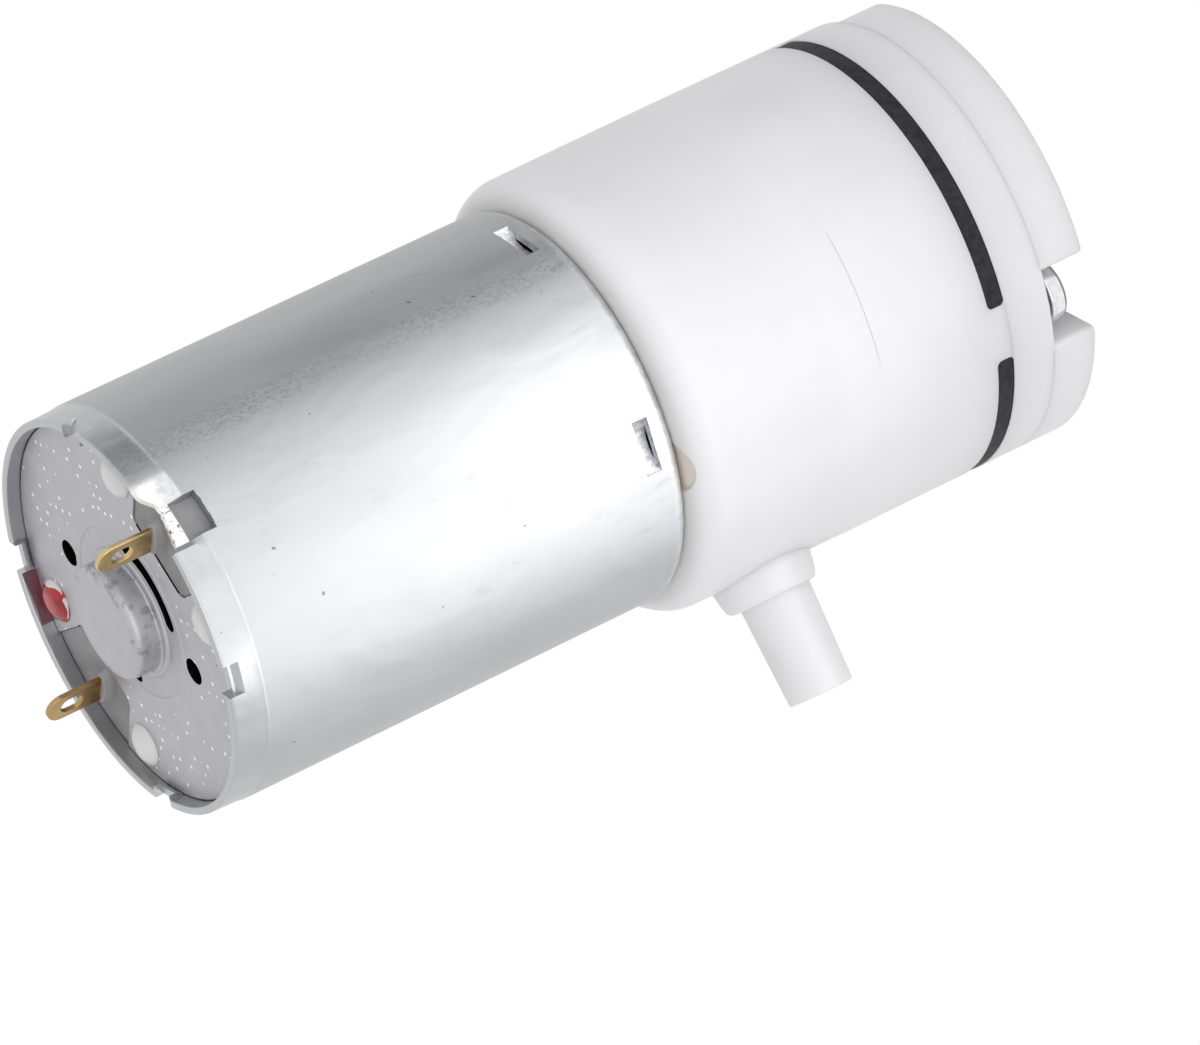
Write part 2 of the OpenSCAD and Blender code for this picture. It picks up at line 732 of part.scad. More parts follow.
// Crankcase: drafted cup with the nozzle, the screw bosses and the motor's seat
module crankcase() {
    nozzle_z = z_motor - nozzle_drop;
    color(plastic) difference() {
        union() {
            difference() {
                rotate_extrude() crankcase_profile();
                bar(case_r, z_case - cut, z_floor);
            }
            layer(z_case, z_floor) difference() {
                bosses();
                at_motor_screws() circle(r = motor_head_d / 2 + motor_head_play);
            }
            translate([0, 0, nozzle_z]) rotate([0, 90, 0]) rotate_extrude() nozzle_profile();
        }
        translate([0, 0, nozzle_z]) rotate([0, 90, 0])
            bar(nozzle_bore_d / 2, case_r - 2 * cut, nozzle_reach + cut);
        at_screws() {
            bar(screw_d / 2, z_case - cut, z_plate + screw_l);
            bar(pocket_d / 2, z_motor - pocket_h, z_motor + cut);
        }
        bar(nose_d / 2 + nose_play, z_floor - cut, z_motor + cut);
        at_motor_screws() bar(motor_screw_d / 2 + screw_play, z_floor - cut, z_motor + cut);
    }
}

module at_motor_screws() {
    motor_sides() rotate(90) translate([motor_screw_r, 0, 0]) children();
}

// Pan head with a cross recess, its bearing face at height 0 and its dome below
module screw_head(d, h) {
    recess_w = d / 6;
    rim_h = h * 0.8;
    difference() {
        union() {
            bar(d / 2, -rim_h, 0);
            translate([0, 0, -h]) cylinder(r1 = d * 0.4, r2 = d / 2, h = h - rim_h);
        }
        for (a = [0, 90])
            rotate(a) translate([-d * 0.3, -recess_w / 2, -h - cut])
                cube([d * 0.6, recess_w, cut + h * 0.6]);
    }
}

// Three long screws that hold the head's layers together
module head_screws() {
    color(steel) at_screws() {
        translate([0, 0, z_plate]) screw_head(screw_head_d, screw_head_h);
        bar(screw_d / 2, z_plate, z_plate + screw_l);
    }
}

// Two short screws that hold the motor to the crankcase floor
module motor_screws() {
    color(steel) at_motor_screws() {
        translate([0, 0, z_floor]) screw_head(motor_head_d, motor_head_h);
        bar(motor_screw_d / 2, z_floor, z_floor + motor_screw_l);
    }
}

// Bracket that the crank pin rocks: ball nose, hub, three arms and ribs
module swing_bracket() {
    neck_r = ball_d / 2 - gap;
    neck_h = 0.3;
    stem_r = pin_r + pin_play + 0.42;
    stem_h = nose_floor - neck_h;
    hub_low = arm_rise + 0.3;
    flare_h = 0.6;
    rib_w = 0.8;
    rib_h = 1.3;
    arm_top = arm_rise + arm_t;
    color("gainsboro") leaning() difference() {
        union() {
            sphere(r = ball_d / 2);
            bar(neck_r, 0, neck_h);
            translate([0, 0, neck_h]) cylinder(r1 = neck_r, r2 = stem_r, h = stem_h);
            bar(stem_r, neck_h + stem_h, arm_rise);
            translate([0, 0, hub_low - flare_h])
                cylinder(r1 = stem_r, r2 = hub_d / 2, h = flare_h);
            bar(hub_d / 2, hub_low, hub_rise);
            for (i = [0:chambers - 1]) rotate(head_turn + step * i) {
                translate([0, -arm_w / 2, arm_rise]) cube([pitch_r, arm_w, arm_t]);
                translate([pitch_r, 0, 0]) bar(pad_d / 2, arm_rise, arm_top);
                translate([0, rib_w / 2, 0]) rotate([90, 0, 0]) linear_extrude(rib_w)
                    polygon([[0, arm_top - 0.1], [pitch_r - pad_d / 2, arm_top - 0.1],
                        [hub_d / 2, arm_top + rib_h], [0, arm_top + rib_h]]);
            }
        }
        bar(pin_r + pin_play, nose_floor, hub_rise + cut);
        at_chambers() bar(nipple_hole_d / 2, arm_rise - cut, arm_top + cut);
    }
}

module crank_pin() {
    color(steel) leaning() bar(pin_r, nose_floor + end_play, pin_top);
}

// Eccentric wheel: flange, hub and a balance weight opposite the crank pin
module eccentric_wheel() {
    weight_gap = 2.0;
    color("whitesmoke") difference() {
        union() {
            bar(wheel_d / 2, wheel_z, wheel_z + wheel_flange);
            bar(wheel_hub_d / 2, wheel_z, wheel_top);
            intersection() {
                bar(wheel_d / 2, wheel_z, wheel_top);
                translate([-wheel_d, -wheel_d / 2, wheel_z])
                    cube([wheel_d - weight_gap, wheel_d, wheel_top - wheel_z]);
            }
        }
        leaning() bar(pin_r, hub_rise - cut, pin_top);
        bar(shaft_r, shaft_tip, wheel_top + cut);
    }
}

// Layer of the can's wall that is slit and pushed in as a stop for the magnets
module at_lances() {
    motor_sides() for (side = [-1, 1])
        rotate(side * lance_turn) layer(z_lance, z_lance + lance_h) children();
}

// Drawn steel can: nose, lanced magnet stops, windows and staked rim
module motor_can() {
    corner_in = 0.2;
    chord_x = sqrt(can_r * can_r - lance_w * lance_w / 4);
    lance_sag = chord_x - can_r + lance_push;
    lance_r = (lance_w * lance_w / 4 + lance_sag * lance_sag) / (2 * lance_sag);
    lance_x = can_r - lance_push + lance_r;
    fold = 0.5;
    color(steel) difference() {
        union() {
            difference() {
                rotate_extrude() {
                    square_from(can_r - can_corner, z_motor, z_end);
                    square_from(can_r, z_motor + can_corner, z_end);
                    translate([can_r - can_corner, z_motor + can_corner]) circle(r = can_corner);
                }
                bar(can_in, z_can_floor, z_end + cut);
            }
            bar(nose_d / 2, z_motor - nose_h, z_can_floor);
            at_lances() intersection() {
                circle(r = can_r);
                translate([lance_x, 0]) circle(r = lance_r + can_wall);
            }
            motor_sides() for (side = [-1, 1]) rotate(side * stake_turn)
                intersection() {
                    tube(can_in + corner_in, can_in - fold, z_plate_top, z_plate_top + fold);
                    translate([0, -stake_w / 2, z_plate_top]) cube([can_r, stake_w, fold]);
                }
        }
        bar(bush_r, front_bush_z, z_can_floor + cut);
        bar(bush_r - 0.8, z_motor - nose_h - cut, z_motor);
        at_motor_screws() bar(motor_screw_d / 2, z_motor - cut, z_can_floor + cut);
        at_lances() translate([lance_x, 0]) circle(r = lance_r);
        motor_sides() {
            for (side = [-1, 1]) rotate(side * stake_turn)
                translate([can_in - fold - 0.1, -stake_w / 2, z_plate_top + fold])
                    cube([can_wall + cut + fold, stake_w, plate_drop + cut]);
            translate([can_in - cut, -window_w / 2, z_end - window_drop - window_h])
                cube([can_wall + 2 * cut, window_w, window_h]);
        }
    }
}

// Rectangle from the axis out to a radius, between two heights
module square_from(r, z0, z1) {
    translate([0, z0]) square([r, z1 - z0]);
}

// Outline of the cutout round a terminal, on the symmetry plane
module cutout_outline(grow) {
    reach = end_plate_r + cut;
    half_w = (cutout_r + cutout_corner) * tan(cutout_turn) + grow;
    corner = cutout_corner;
    polygon([[cutout_r + corner - grow, -half_w], [reach, -half_w - (reach - cutout_r) * 0.3],
        [reach, half_w + (reach - cutout_r) * 0.3], [cutout_r + corner - grow, half_w]]);
    translate([cutout_r - grow, -half_w + corner]) square([corner + 0.1, 2 * (half_w - corner)]);
    for (side = [-1, 1])
        translate([cutout_r + corner - grow, side * (half_w - corner)]) circle(r = corner);
}

// Steel end plate with the drawn boss, the vents and the terminals' cutouts
module motor_end_plate() {
    step_r = rear_boss_d / 2 + 0.5;
    step_h = 0.15;
    slot_mid = slot_r + slot_w / 2;
    slot_ease = 0.01;
    color(steel) difference() {
        union() {
            bar(end_plate_r, z_plate_low, z_plate_top);
            bar(step_r, z_plate_low, z_plate_top + step_h);
            rotate_extrude() {
                square_from(rear_boss_d / 2 - rear_boss_edge, z_plate_low, z_boss_top);
                square_from(rear_boss_d / 2, z_plate_low, z_boss_top - rear_boss_edge);
                translate([rear_boss_d / 2 - rear_boss_edge, z_boss_top - rear_boss_edge])
                    circle(r = rear_boss_edge);
            }
        }
        bar(rear_bush_r, z_plate_low - cut, z_boss_top - rear_boss_wall);
        motor_sides() {
            translate([0, 0, z_plate_low - cut]) linear_extrude(end_plate_t + 2 * cut)
                cutout_outline(0);
            rotate(-vent_turn) translate([vent_r, 0, 0])
                bar(vent_d / 2, z_plate_low - cut, z_plate_top + cut);
            rotate(-slot_lag) translate([0, 0, z_plate_low - cut])
                linear_extrude(end_plate_t + 2 * cut) {
                    sector(slot_r + slot_w, slot_r, slot_span / 2);
                    for (side = [-1, 1])
                        rotate(side * slot_span / 2) translate([slot_mid, 0])
                            circle(r = slot_w / 2 - slot_ease);
                }
            for (side = [-1, 1]) rotate(side * post_turn) translate([post_r, 0, 0])
                bar(post_d / 2, z_plate_low - cut, z_plate_top + cut);
        }
    }
}

// Nylon plate that carries the terminals, staked to the end plate by four posts
module brush_holder() {
    pad_play = 0.05;
    pad_sink = 0.15;
    dome_r = (dome_d * dome_d / 4 + dome_h * dome_h) / (2 * dome_h);
    shaft_room = 1.2;
    shaft_hole = comm_r + shaft_room;
    color("dimgray") difference() {
        union() {
            bar(holder_r, z_holder, z_plate_low);
            motor_sides() {
                translate([0, 0, z_holder]) linear_extrude(z_plate_top - pad_sink - z_holder)
                    intersection() {
                        cutout_outline(-pad_play);
                        circle(r = holder_r);
                    }
                for (side = [-1, 1]) rotate(side * post_turn) translate([post_r, 0, 0]) {
                    bar(post_d / 2, z_holder, z_plate_top + dome_h / 2);
                    intersection() {
                        bar(dome_d / 2, z_plate_top, z_plate_top + dome_h);
                        translate([0, 0, z_plate_top + dome_h - dome_r]) sphere(r = dome_r);
                    }
                }
            }
        }
        bar(shaft_hole, z_holder - cut, z_plate_top + cut);
        motor_sides() at_terminal() translate([0, 0, z_holder - cut])
            linear_extrude(end_plate_t + holder_t + 2 * cut)
                square([terminal_w, terminal_t], center = true);
    }
}

module at_terminal() {
    rotate(terminal_turn) translate([terminal_r, 0, 0]) rotate(terminal_twist - terminal_turn)
        children();
}

// Brass terminal: flat strip with a round tip and an oblong eye
module terminal(side) {
    tip_r = terminal_w / 2;
    eye_z = z_terminal_tip - eye_drop;
    color(brass) rotate(motor_turn + side) at_terminal()
        translate([0, terminal_t / 2, 0]) rotate([90, 0, 0]) linear_extrude(terminal_t)
            difference() {
                union() {
                    translate([-tip_r, z_terminal])
                        square([terminal_w, z_terminal_tip - tip_r - z_terminal]);
                    translate([0, z_terminal_tip - tip_r]) circle(r = tip_r);
                }
                translate([0, eye_z]) square([eye_w, eye_l - eye_w], center = true);
                for (end = [-1, 1])
                    translate([0, eye_z + end * (eye_l - eye_w) / 2]) circle(r = eye_w / 2);
            }
}

// Flat strip between two points, seen along the axis
module strip(from, to, t) {
    run = to - from;
    translate(from) rotate(atan2(run[1], run[0])) translate([-t / 2, -t / 2])
        square([norm(run) + t, t]);
}

// Hairpin leaf spring from a terminal's foot to the back of its brush
module brush_arm(side) {
    root = [terminal_r * cos(terminal_turn) - terminal_w / 2 * cos(terminal_twist) - leaf_t,
        terminal_r * sin(terminal_turn) - terminal_w / 2 * sin(terminal_twist)];
    back = comm_r + brush_t + leaf_t;
    bend = [back + (root[0] - back) * 0.75, -arm_bend];
    tip = [back, brush_w / 2 + leaf_t];
    color(copper) rotate(motor_turn + side) translate([0, 0, z_brush])
        linear_extrude(brush_h) {
            strip(root, bend, leaf_t);
            strip(bend, [back, -brush_w / 2], leaf_t);
            strip([back, -brush_w / 2], tip, leaf_t);
        }
}

// Carbon block that rides on the commutator
module carbon_brush(side) {
    color([0.2, 0.2, 0.2]) rotate(motor_turn + side) difference() {
        translate([0, -brush_w / 2, z_brush])
            cube([comm_r + brush_t + leaf_t / 2, brush_w, brush_h]);
        bar(comm_r + 0.05, z_brush - cut, z_brush + brush_h + cut);
    }
}

module front_bearing() {
    color("tan") tube(bush_r, shaft_r + shaft_play, front_bush_z, front_bush_z + bush_l);
}

module rear_bearing() {
    color("tan") tube(rear_bush_r, shaft_r + shaft_play, rear_bush_z, rear_bush_z + bush_l);
}

// Ferrite arc magnet against the can's wall
module magnet(side) {
    color([0.25, 0.25, 0.27]) rotate(motor_turn + side) translate([0, 0, z_magnet])
        linear_extrude(magnet_l) sector(magnet_out, magnet_in, magnet_turn);
}

// Two bent wire clips that spread the magnets apart
module magnet_clips() {
    clip_turn = 90 - magnet_turn;
    lip = clip_t / 2;
    color(steel) motor_sides() rotate(90) {
        translate([0, 0, z_magnet + clip_t]) linear_extrude(magnet_l - 2 * clip_t)
            for (side = [-1, 1]) rotate(side * (clip_turn - 2.5))
                translate([magnet_in + lip + 0.6, 0]) circle(r = clip_t / 2, $fn = 24);
        translate([0, 0, z_magnet]) linear_extrude(clip_t * 1.5)
            sector(magnet_in + clip_t + 0.6, magnet_in + 0.6, clip_turn - 2.5);
    }
}

module rotor_shaft() {
    color(steel) bar(shaft_r, shaft_tip, z_shaft_end);
}

// Laminated stack: hub, three teeth and their pole shoes
module rotor_core() {
    color([0.5, 0.5, 0.52]) translate([0, 0, z_stack]) linear_extrude(stack_l)
        difference() {
            union() {
                circle(r = stack_hub_d / 2);
                for (i = [0:2]) rotate(120 * i) {
                    translate([0, -tooth_w / 2]) square([stack_r - shoe_t / 2, tooth_w]);
                    sector(stack_r, stack_r - shoe_t, shoe_turn);
                }
            }
            circle(r = shaft_r);
        }
}

// Copper coil wound round one tooth
module winding(i) {
    lining = 0.1;
    tooth_h = stack_l + 2 * lining;
    coil_w = tooth_w + 2 * (lining + winding_t);
    coil_h = tooth_h + 2 * winding_t;
    color(copper) rotate(120 * (i - 1)) intersection() {
        translate([winding_in, 0, z_stack + stack_l / 2]) rotate([0, 90, 0]) rotate(90)
            linear_extrude(winding_out - winding_in) difference() {
                round_rect(coil_w, coil_h, winding_t * 0.8);
                square([tooth_w + 2 * lining, tooth_h], center = true);
            }
        bar(winding_out, z_stack - 2 * winding_t, z_stack_end + 2 * winding_t);
    }
}

// Moulded core of the commutator
module commutator_hub() {
    collar_h = 0.3;
    color([0.35, 0.16, 0.1]) {
        tube(comm_r - bar_t, shaft_r, z_comm, z_comm_end);
        tube(comm_r, shaft_r, z_comm - collar_h, z_comm);
    }
}

module commutator_bars() {
    half_angle = 60 - asin(bar_gap / comm_d);
    color(copper) for (i = [0:2]) rotate(120 * i + 60) translate([0, 0, z_comm])
        linear_extrude(comm_l) sector(comm_r, comm_r - bar_t, half_angle);
}

// Sleeves that keep the rotor between its bushes
module shaft_spacers() {
    spacer_r = shaft_r + 0.5;
    rest = 0.2;
    color("ivory") {
        tube(spacer_r, shaft_r, front_bush_z + bush_l + rest, z_stack);
        tube(spacer_r, shaft_r, z_comm_end, rear_bush_z - rest);
    }
}

end_cover();
valve_plate();
diaphragm();
diaphragm_seat();
crankcase();
head_screws();
inlet_valve(1);  // inlet_valve_1
inlet_valve(2);  // inlet_valve_2
inlet_valve(3);  // inlet_valve_3
outlet_valve();
swing_bracket();
crank_pin();
eccentric_wheel();
motor_screws();
motor_can();
motor_end_plate();
brush_holder();
terminal(0);  // terminal_pos
terminal(180);  // terminal_neg
brush_arm(0);  // brush_arm_pos
brush_arm(180);  // brush_arm_neg
carbon_brush(0);  // carbon_brush_pos
carbon_brush(180);  // carbon_brush_neg
front_bearing();
rear_bearing();
magnet(0);  // magnet_left
magnet(180);  // magnet_right
magnet_clips();
rotor_shaft();
rotor_core();
winding(1);  // winding_1
winding(2);  // winding_2
winding(3);  // winding_3
commutator_hub();
commutator_bars();
shaft_spacers();
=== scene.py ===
"""Mini air pump: a white three chamber pump head on a small brushed motor."""

import math

import bpy
import numpy as np
from mathutils import Matrix, Vector
from mathutils.geometry import tessellate_polygon


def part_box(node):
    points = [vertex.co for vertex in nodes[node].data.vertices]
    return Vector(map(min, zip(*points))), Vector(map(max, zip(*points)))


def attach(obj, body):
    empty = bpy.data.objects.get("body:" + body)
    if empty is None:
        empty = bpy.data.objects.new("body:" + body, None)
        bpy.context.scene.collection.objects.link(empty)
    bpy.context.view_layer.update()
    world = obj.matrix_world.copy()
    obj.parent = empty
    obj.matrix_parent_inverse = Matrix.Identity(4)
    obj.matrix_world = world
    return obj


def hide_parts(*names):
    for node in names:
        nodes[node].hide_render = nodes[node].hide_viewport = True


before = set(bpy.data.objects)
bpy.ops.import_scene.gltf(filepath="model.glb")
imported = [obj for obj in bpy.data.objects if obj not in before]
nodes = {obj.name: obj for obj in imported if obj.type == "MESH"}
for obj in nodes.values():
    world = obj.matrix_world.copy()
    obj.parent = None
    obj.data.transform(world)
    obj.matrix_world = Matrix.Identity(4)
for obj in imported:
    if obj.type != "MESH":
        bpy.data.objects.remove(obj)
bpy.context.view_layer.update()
MM = 0.001


# The motor's case: a deep drawn steel can, zinc plated and tumbled to a soft sheen.
# Lanced strips stop its magnets, two windows show the brush holder, and the rim is
# drawn in a little and staked over the end plate at four places.
CAN_R, CAN_WALL, CAN_FRONT, CAN_CORNER, INNER_CORNER = 12.2, 0.6, 0.8, 0.8, 0.2
CAN_Z0, CAN_Z1, RIM_EDGE = 27.7, 58.3, 0.1
HUB_Z, HUB_IN, HUB_R, CREASE = 26.3, 2.2, 3.1, 32
MOTOR_TURN, SCUFF_TURN = 106, 38.7
RIM_BAND_Z, RIM_BAND_IN = 56.2, 0.07
LANCE_TURN, LANCE_W, LANCE_Z0, LANCE_Z1, LANCE_DEEP = 36, 3.3, 29.0, 30.0, 0.9
WINDOW_W, WINDOW_Z0, WINDOW_Z1, STRIP_TOP, STRIP_IN = 2.5, 55.3, 57.0, 57.85, 0.28
STAKE_TURN, STAKE_W, STAKE_Z, STAKE_TOP, STAKE_IN = 45, 1.9, 57.3, 57.88, 0.3
DENT_Z, DENT_DEEP, DENT_WIDE, TEAR_WINDOW, TEAR_RIM = 28.45, 0.10, 1.15, 0.06, 0.04
PUSH_END, CUT_DEEP, CUT_END, CUT_LONG, STRIP_SLOPE = 15.5, 0.8, 12.4, 6.5, 0.35


def lattice(rows, cols, wrapped=False):
    """The quads of a grid of points kept row after row. A wrapped grid closes round
    from its last column to its first."""
    i = np.arange(rows - 1)[:, None]
    j = np.arange(cols if wrapped else cols - 1)
    k = (j + 1) % cols
    quads = (i * cols + j, i * cols + k, (i + 1) * cols + k, (i + 1) * cols + j)
    return np.stack(np.broadcast_arrays(*quads), -1).reshape(-1, 4)


def shell(outer, inner, present):
    """A wall between two wrapped grids of points. Each cell that is present gets its
    outer and inner quad, and each edge between a cell that is present and one that
    is not gets a quad from the outer grid to the inner one."""
    rows, cols = outer.shape[:2]
    points = np.concatenate((outer.reshape(-1, 3), inner.reshape(-1, 3)))
    quads = lattice(rows, cols, True)
    keep = present.reshape(-1)
    back = rows * cols
    index = np.arange(back).reshape(rows, cols)
    none = np.zeros((1, cols), bool)
    above, below = np.concatenate((present, none)), np.concatenate((none, present))
    faces = [quads[keep], quads[keep][:, ::-1] + back]
    for more, less, first, last in (
            (above, below, np.roll(index, -1, 1), index),
            (present, np.roll(present, 1, 1), index[:-1], index[1:])):
        for edge, way in ((more > less, 1), (less > more, -1)):
            a, b = first[edge], last[edge]
            faces.append(np.stack((a, b, b + back, a + back), -1)[:, ::way])
    return points, np.concatenate(faces)


def build(name, parts, material, node=None, body="housing"):
    """One mesh from pairs of points in millimetres and quads or triangles. Points that
    fall together become one, a quad with two equal corners becomes a triangle, and
    faces without area are left out. Edges sharper than CREASE degrees stay sharp."""
    offset, all_points, fours, threes = 0, [], [], []
    for points, faces in parts:
        all_points.append(points)
        (fours if faces.shape[1] == 4 else threes).append(faces + offset)
        offset += len(points)
    points = np.concatenate(all_points)
    _, first, same = np.unique(np.round(points * 2e4).astype(np.int64), axis=0,
                               return_index=True, return_inverse=True)
    same = same.reshape(-1)
    fours = same[np.concatenate(fours)]
    threes = [same[np.concatenate(threes)]] if threes else []
    equal = fours == np.roll(fours, -1, 1)
    whole = fours[~equal.any(1)]
    whole = whole[(whole[:, 0] != whole[:, 2]) & (whole[:, 1] != whole[:, 3])]
    for corner in range(4):
        cut = fours[equal[:, corner] & (equal.sum(1) == 1)]
        threes.append(np.delete(cut, corner, 1))
    threes = np.concatenate(threes)
    threes = threes[(threes != np.roll(threes, -1, 1)).all(1)]
    mesh = bpy.data.meshes.new(name)
    mesh.from_pydata((points[first] * MM).tolist(), [], whole.tolist() + threes.tolist())
    mesh.materials.append(material)
    mesh.shade_smooth()
    mesh.set_sharp_from_angle(angle=math.radians(CREASE))
    mesh.update()
    piece = bpy.data.objects.new(name, mesh)
    bpy.context.scene.collection.objects.link(piece)
    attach(piece, body)
    if node:
        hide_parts(node)


def polar(r, angle, z=0.0):
    """Points at a radius, an angle in degrees and a height."""
    r, angle, z = np.broadcast_arrays(r, np.radians(angle), z)
    return np.stack((r * np.cos(angle), r * np.sin(angle), z), -1)


def ease(x):
    """0 below 0, 1 above 1, and 3x^2 - 2x^3 between."""
    x = np.clip(x, 0, 1)
    return x * x * (3 - 2 * x)


class Nodes:
    """A material's node tree, wired in short lines. Values are numbers or sockets,
    and the places that axes gives are in millimetres."""

    def __init__(self, name, colour, roughness, metallic=0.0, **sockets):
        """A new material; the shader's other sockets are given by name."""
        self.material = bpy.data.materials.new(name)
        self.material.use_nodes = True
        self.tree = self.material.node_tree
        self.shader = self.tree.nodes["Principled BSDF"]
        sockets.update(Base_Color=(*colour, 1), Roughness=roughness, Metallic=metallic)
        for socket, value in sockets.items():
            self.shader.inputs[socket.replace("_", " ")].default_value = value
        self.place = self.tree.nodes.new("ShaderNodeTexCoord").outputs["Object"]

    def put(self, socket, value):
        """Link the value to the socket if it is a socket itself, else set it there."""
        if isinstance(value, bpy.types.NodeSocket):
            self.tree.links.new(value, socket)
        else:
            socket.default_value = value

    def math(self, how, a, b=0.0):
        """One step of arithmetic with two values."""
        node = self.tree.nodes.new("ShaderNodeMath")
        node.operation = how
        for socket, value in zip(node.inputs, (a, b)):
            self.put(socket, value)
        return node.outputs[0]

    def times(self, first, *others):
        """The product of the values."""
        for other in others:
            first = self.math("MULTIPLY", first, other)
        return first

    def plus(self, first, *others):
        """The sum of the values."""
        for other in others:
            first = self.math("ADD", first, other)
        return first

    def over(self, value, limit):
        """1 where the value is over the limit, else 0."""
        return self.math("GREATER_THAN", value, limit)

    def under(self, value, limit):
        """1 where the value is under the limit, else 0."""
        return self.math("LESS_THAN", value, limit)

    def off(self, value, centre=0.0):
        """How far the value is from a centre, on either side."""
        return self.math("ABSOLUTE", self.math("SUBTRACT", value, centre))

    def length(self, a, b):
        """The square root of a^2 + b^2."""
        return self.math("SQRT", self.plus(self.times(a, a), self.times(b, b)))

    def along(self, x, y, angle):
        """How far x and y reach towards an angle in degrees: x cos a + y sin a."""
        turn = math.radians(angle)
        return self.plus(self.times(x, math.cos(turn)), self.times(y, math.sin(turn)))

    def span(self, value, low, high, to_low=0.0, to_high=1.0):
        """The value from low to high, eased, as a number from to_low to to_high."""
        node = self.tree.nodes.new("ShaderNodeMapRange")
        node.interpolation_type = "SMOOTHSTEP"
        for socket, given in zip(node.inputs, (value, low, high, to_low, to_high)):
            self.put(socket, given)
        return node.outputs[0]

    def moved(self, scale=(1, 1, 1), turn=(0, 0, 0)):
        """The object's own place, stretched by scale and turned by degrees."""
        node = self.tree.nodes.new("ShaderNodeMapping")
        node.inputs["Scale"].default_value = scale
        node.inputs["Rotation"].default_value = [math.radians(t) for t in turn]
        self.put(node.inputs["Vector"], self.place)
        return node.outputs[0]

    def axes(self):
        """The object's own x, y and z in millimetres."""
        scaled = self.tree.nodes.new("ShaderNodeVectorMath")
        scaled.operation = "SCALE"
        scaled.inputs["Scale"].default_value = 1 / MM
        self.put(scaled.inputs[0], self.place)
        node = self.tree.nodes.new("ShaderNodeSeparateXYZ")
        self.put(node.inputs[0], scaled.outputs[0])
        return node.outputs

    def noise(self, scale, detail=4, rough=0.5, vector=None, warp=0.0):
        """Noise from 0 to 1, its scale in waves to the metre."""
        node = self.tree.nodes.new("ShaderNodeTexNoise")
        self.put(node.inputs["Vector"], self.place if vector is None else vector)
        for socket, value in (("Scale", scale), ("Detail", detail), ("Roughness", rough),
                              ("Distortion", warp)):
            node.inputs[socket].default_value = value
        return node.outputs["Fac"]

    def blend(self, share, low, high):
        """The colour low where the share is 0, and high where it is 1."""
        node = self.tree.nodes.new("ShaderNodeMix")
        node.data_type = "RGBA"
        self.put(node.inputs["Factor"], share)
        for socket, colour in (("A", low), ("B", high)):
            target = [s for s in node.inputs if s.name == socket and s.type == "RGBA"][0]
            self.put(target, (*colour, 1) if isinstance(colour, tuple) else colour)
        return [s for s in node.outputs if s.type == "RGBA"][0]

    def bump(self, height, strength, distance):
        """Small relief on the shader, its distance in millimetres."""
        node = self.tree.nodes.new("ShaderNodeBump")
        node.inputs["Strength"].default_value = strength
        node.inputs["Distance"].default_value = distance * MM
        self.put(node.inputs["Height"], height)
        self.put(self.shader.inputs["Normal"], node.outputs[0])

    def colour(self, tone, *coats):
        """Set the base colour: a tone, covered in turn by a share of each coat."""
        for share, coat in coats:
            tone = self.blend(share, tone, coat)
        self.put(self.shader.inputs["Base Color"], tone)

    def roughness(self, value):
        """Set the shader's roughness."""
        self.put(self.shader.inputs["Roughness"], value)


# The steel's sheen is clouded, with scuffs and pits all over, dirt and a painted dark
# reflection in a band along the near side, a painted highlight on the lanced strips, a
# painted reflection of the white shoulder along the front edge, a painted highlight on
# the rim band next to the window and a bright, torn edge beside the window.
steel = Nodes("zinc_plated_steel", (0.50, 0.505, 0.52), 0.5, 1.0)
x, y, z = steel.axes()
near_half = steel.over(y, 0.0)
cloud = steel.noise(260, 4, 0.55, steel.moved(scale=(1, 1, 0.45)))
fine = steel.noise(2600, 5, 0.6)
grit = steel.noise(5200, 6, 0.75, steel.moved(scale=(1, 1, 0.7)), 0.3)
wrinkle = steel.noise(1500, 6, 0.7, steel.moved(scale=(1, 1, 0.22), turn=(22, 0, 0)), 0.6)
wave = steel.noise(150, 3, 0.55, steel.moved(scale=(1, 1, 0.55), turn=(25, 0, 0)), 0.5)
streak = steel.noise(1300, 8, 0.75, steel.moved(scale=(1, 1, 0.3), turn=(14, 0, 0)), 0.8)
folds = steel.noise(2200, 6, 0.7)
torn_metal = steel.noise(1500, 6, 0.75, steel.moved(turn=(0, 0, 30)), 1.5)
scuff_side = steel.along(x, y, SCUFF_TURN)
# Along the near side a band of dirt, mixed with a painted dark reflection.
dirt_and_reflection_band = steel.times(steel.span(steel.off(scuff_side, 0.1), 1.7, 0.3), near_half)
dirt_and_dark_reflection = steel.times(steel.span(grit, 0.42, 0.62), dirt_and_reflection_band,
                   steel.span(cloud, 0.35, 0.6, 0.35, 1.0))
scuffs = steel.times(steel.span(streak, 0.56, 0.66), steel.span(cloud, 0.46, 0.62),
                     steel.span(dirt_and_reflection_band, 0.0, 1.0, 0.25, 0.6))
pits = steel.span(steel.noise(1500, 2), 0.765, 0.785)
rim_band = steel.span(z, RIM_BAND_Z - 0.2, RIM_BAND_Z)
# The lanced strips get a painted highlight, patchy with the folds noise.
lanced = steel.times(steel.over(z, LANCE_Z0 - 0.02), steel.under(z, LANCE_Z1 + 0.02),
                     steel.span(steel.length(x, y), CAN_R - 0.01, CAN_R - 0.1))
# Along the can's front edge, a painted reflection of the white shoulder.
painted_edge_reflection = steel.times(steel.span(z, CAN_Z0 + 1.0, CAN_Z0 + 0.2),
                   steel.span(steel.noise(1700, 6, 0.7), 0.35, 0.6, 0.45, 1.0))
ahead = steel.along(x, y, MOTOR_TURN + 90)
on_strip = steel.times(steel.under(steel.off(ahead), WINDOW_W / 2 + 0.02),
                       steel.over(z, WINDOW_Z1 + 0.05), near_half)
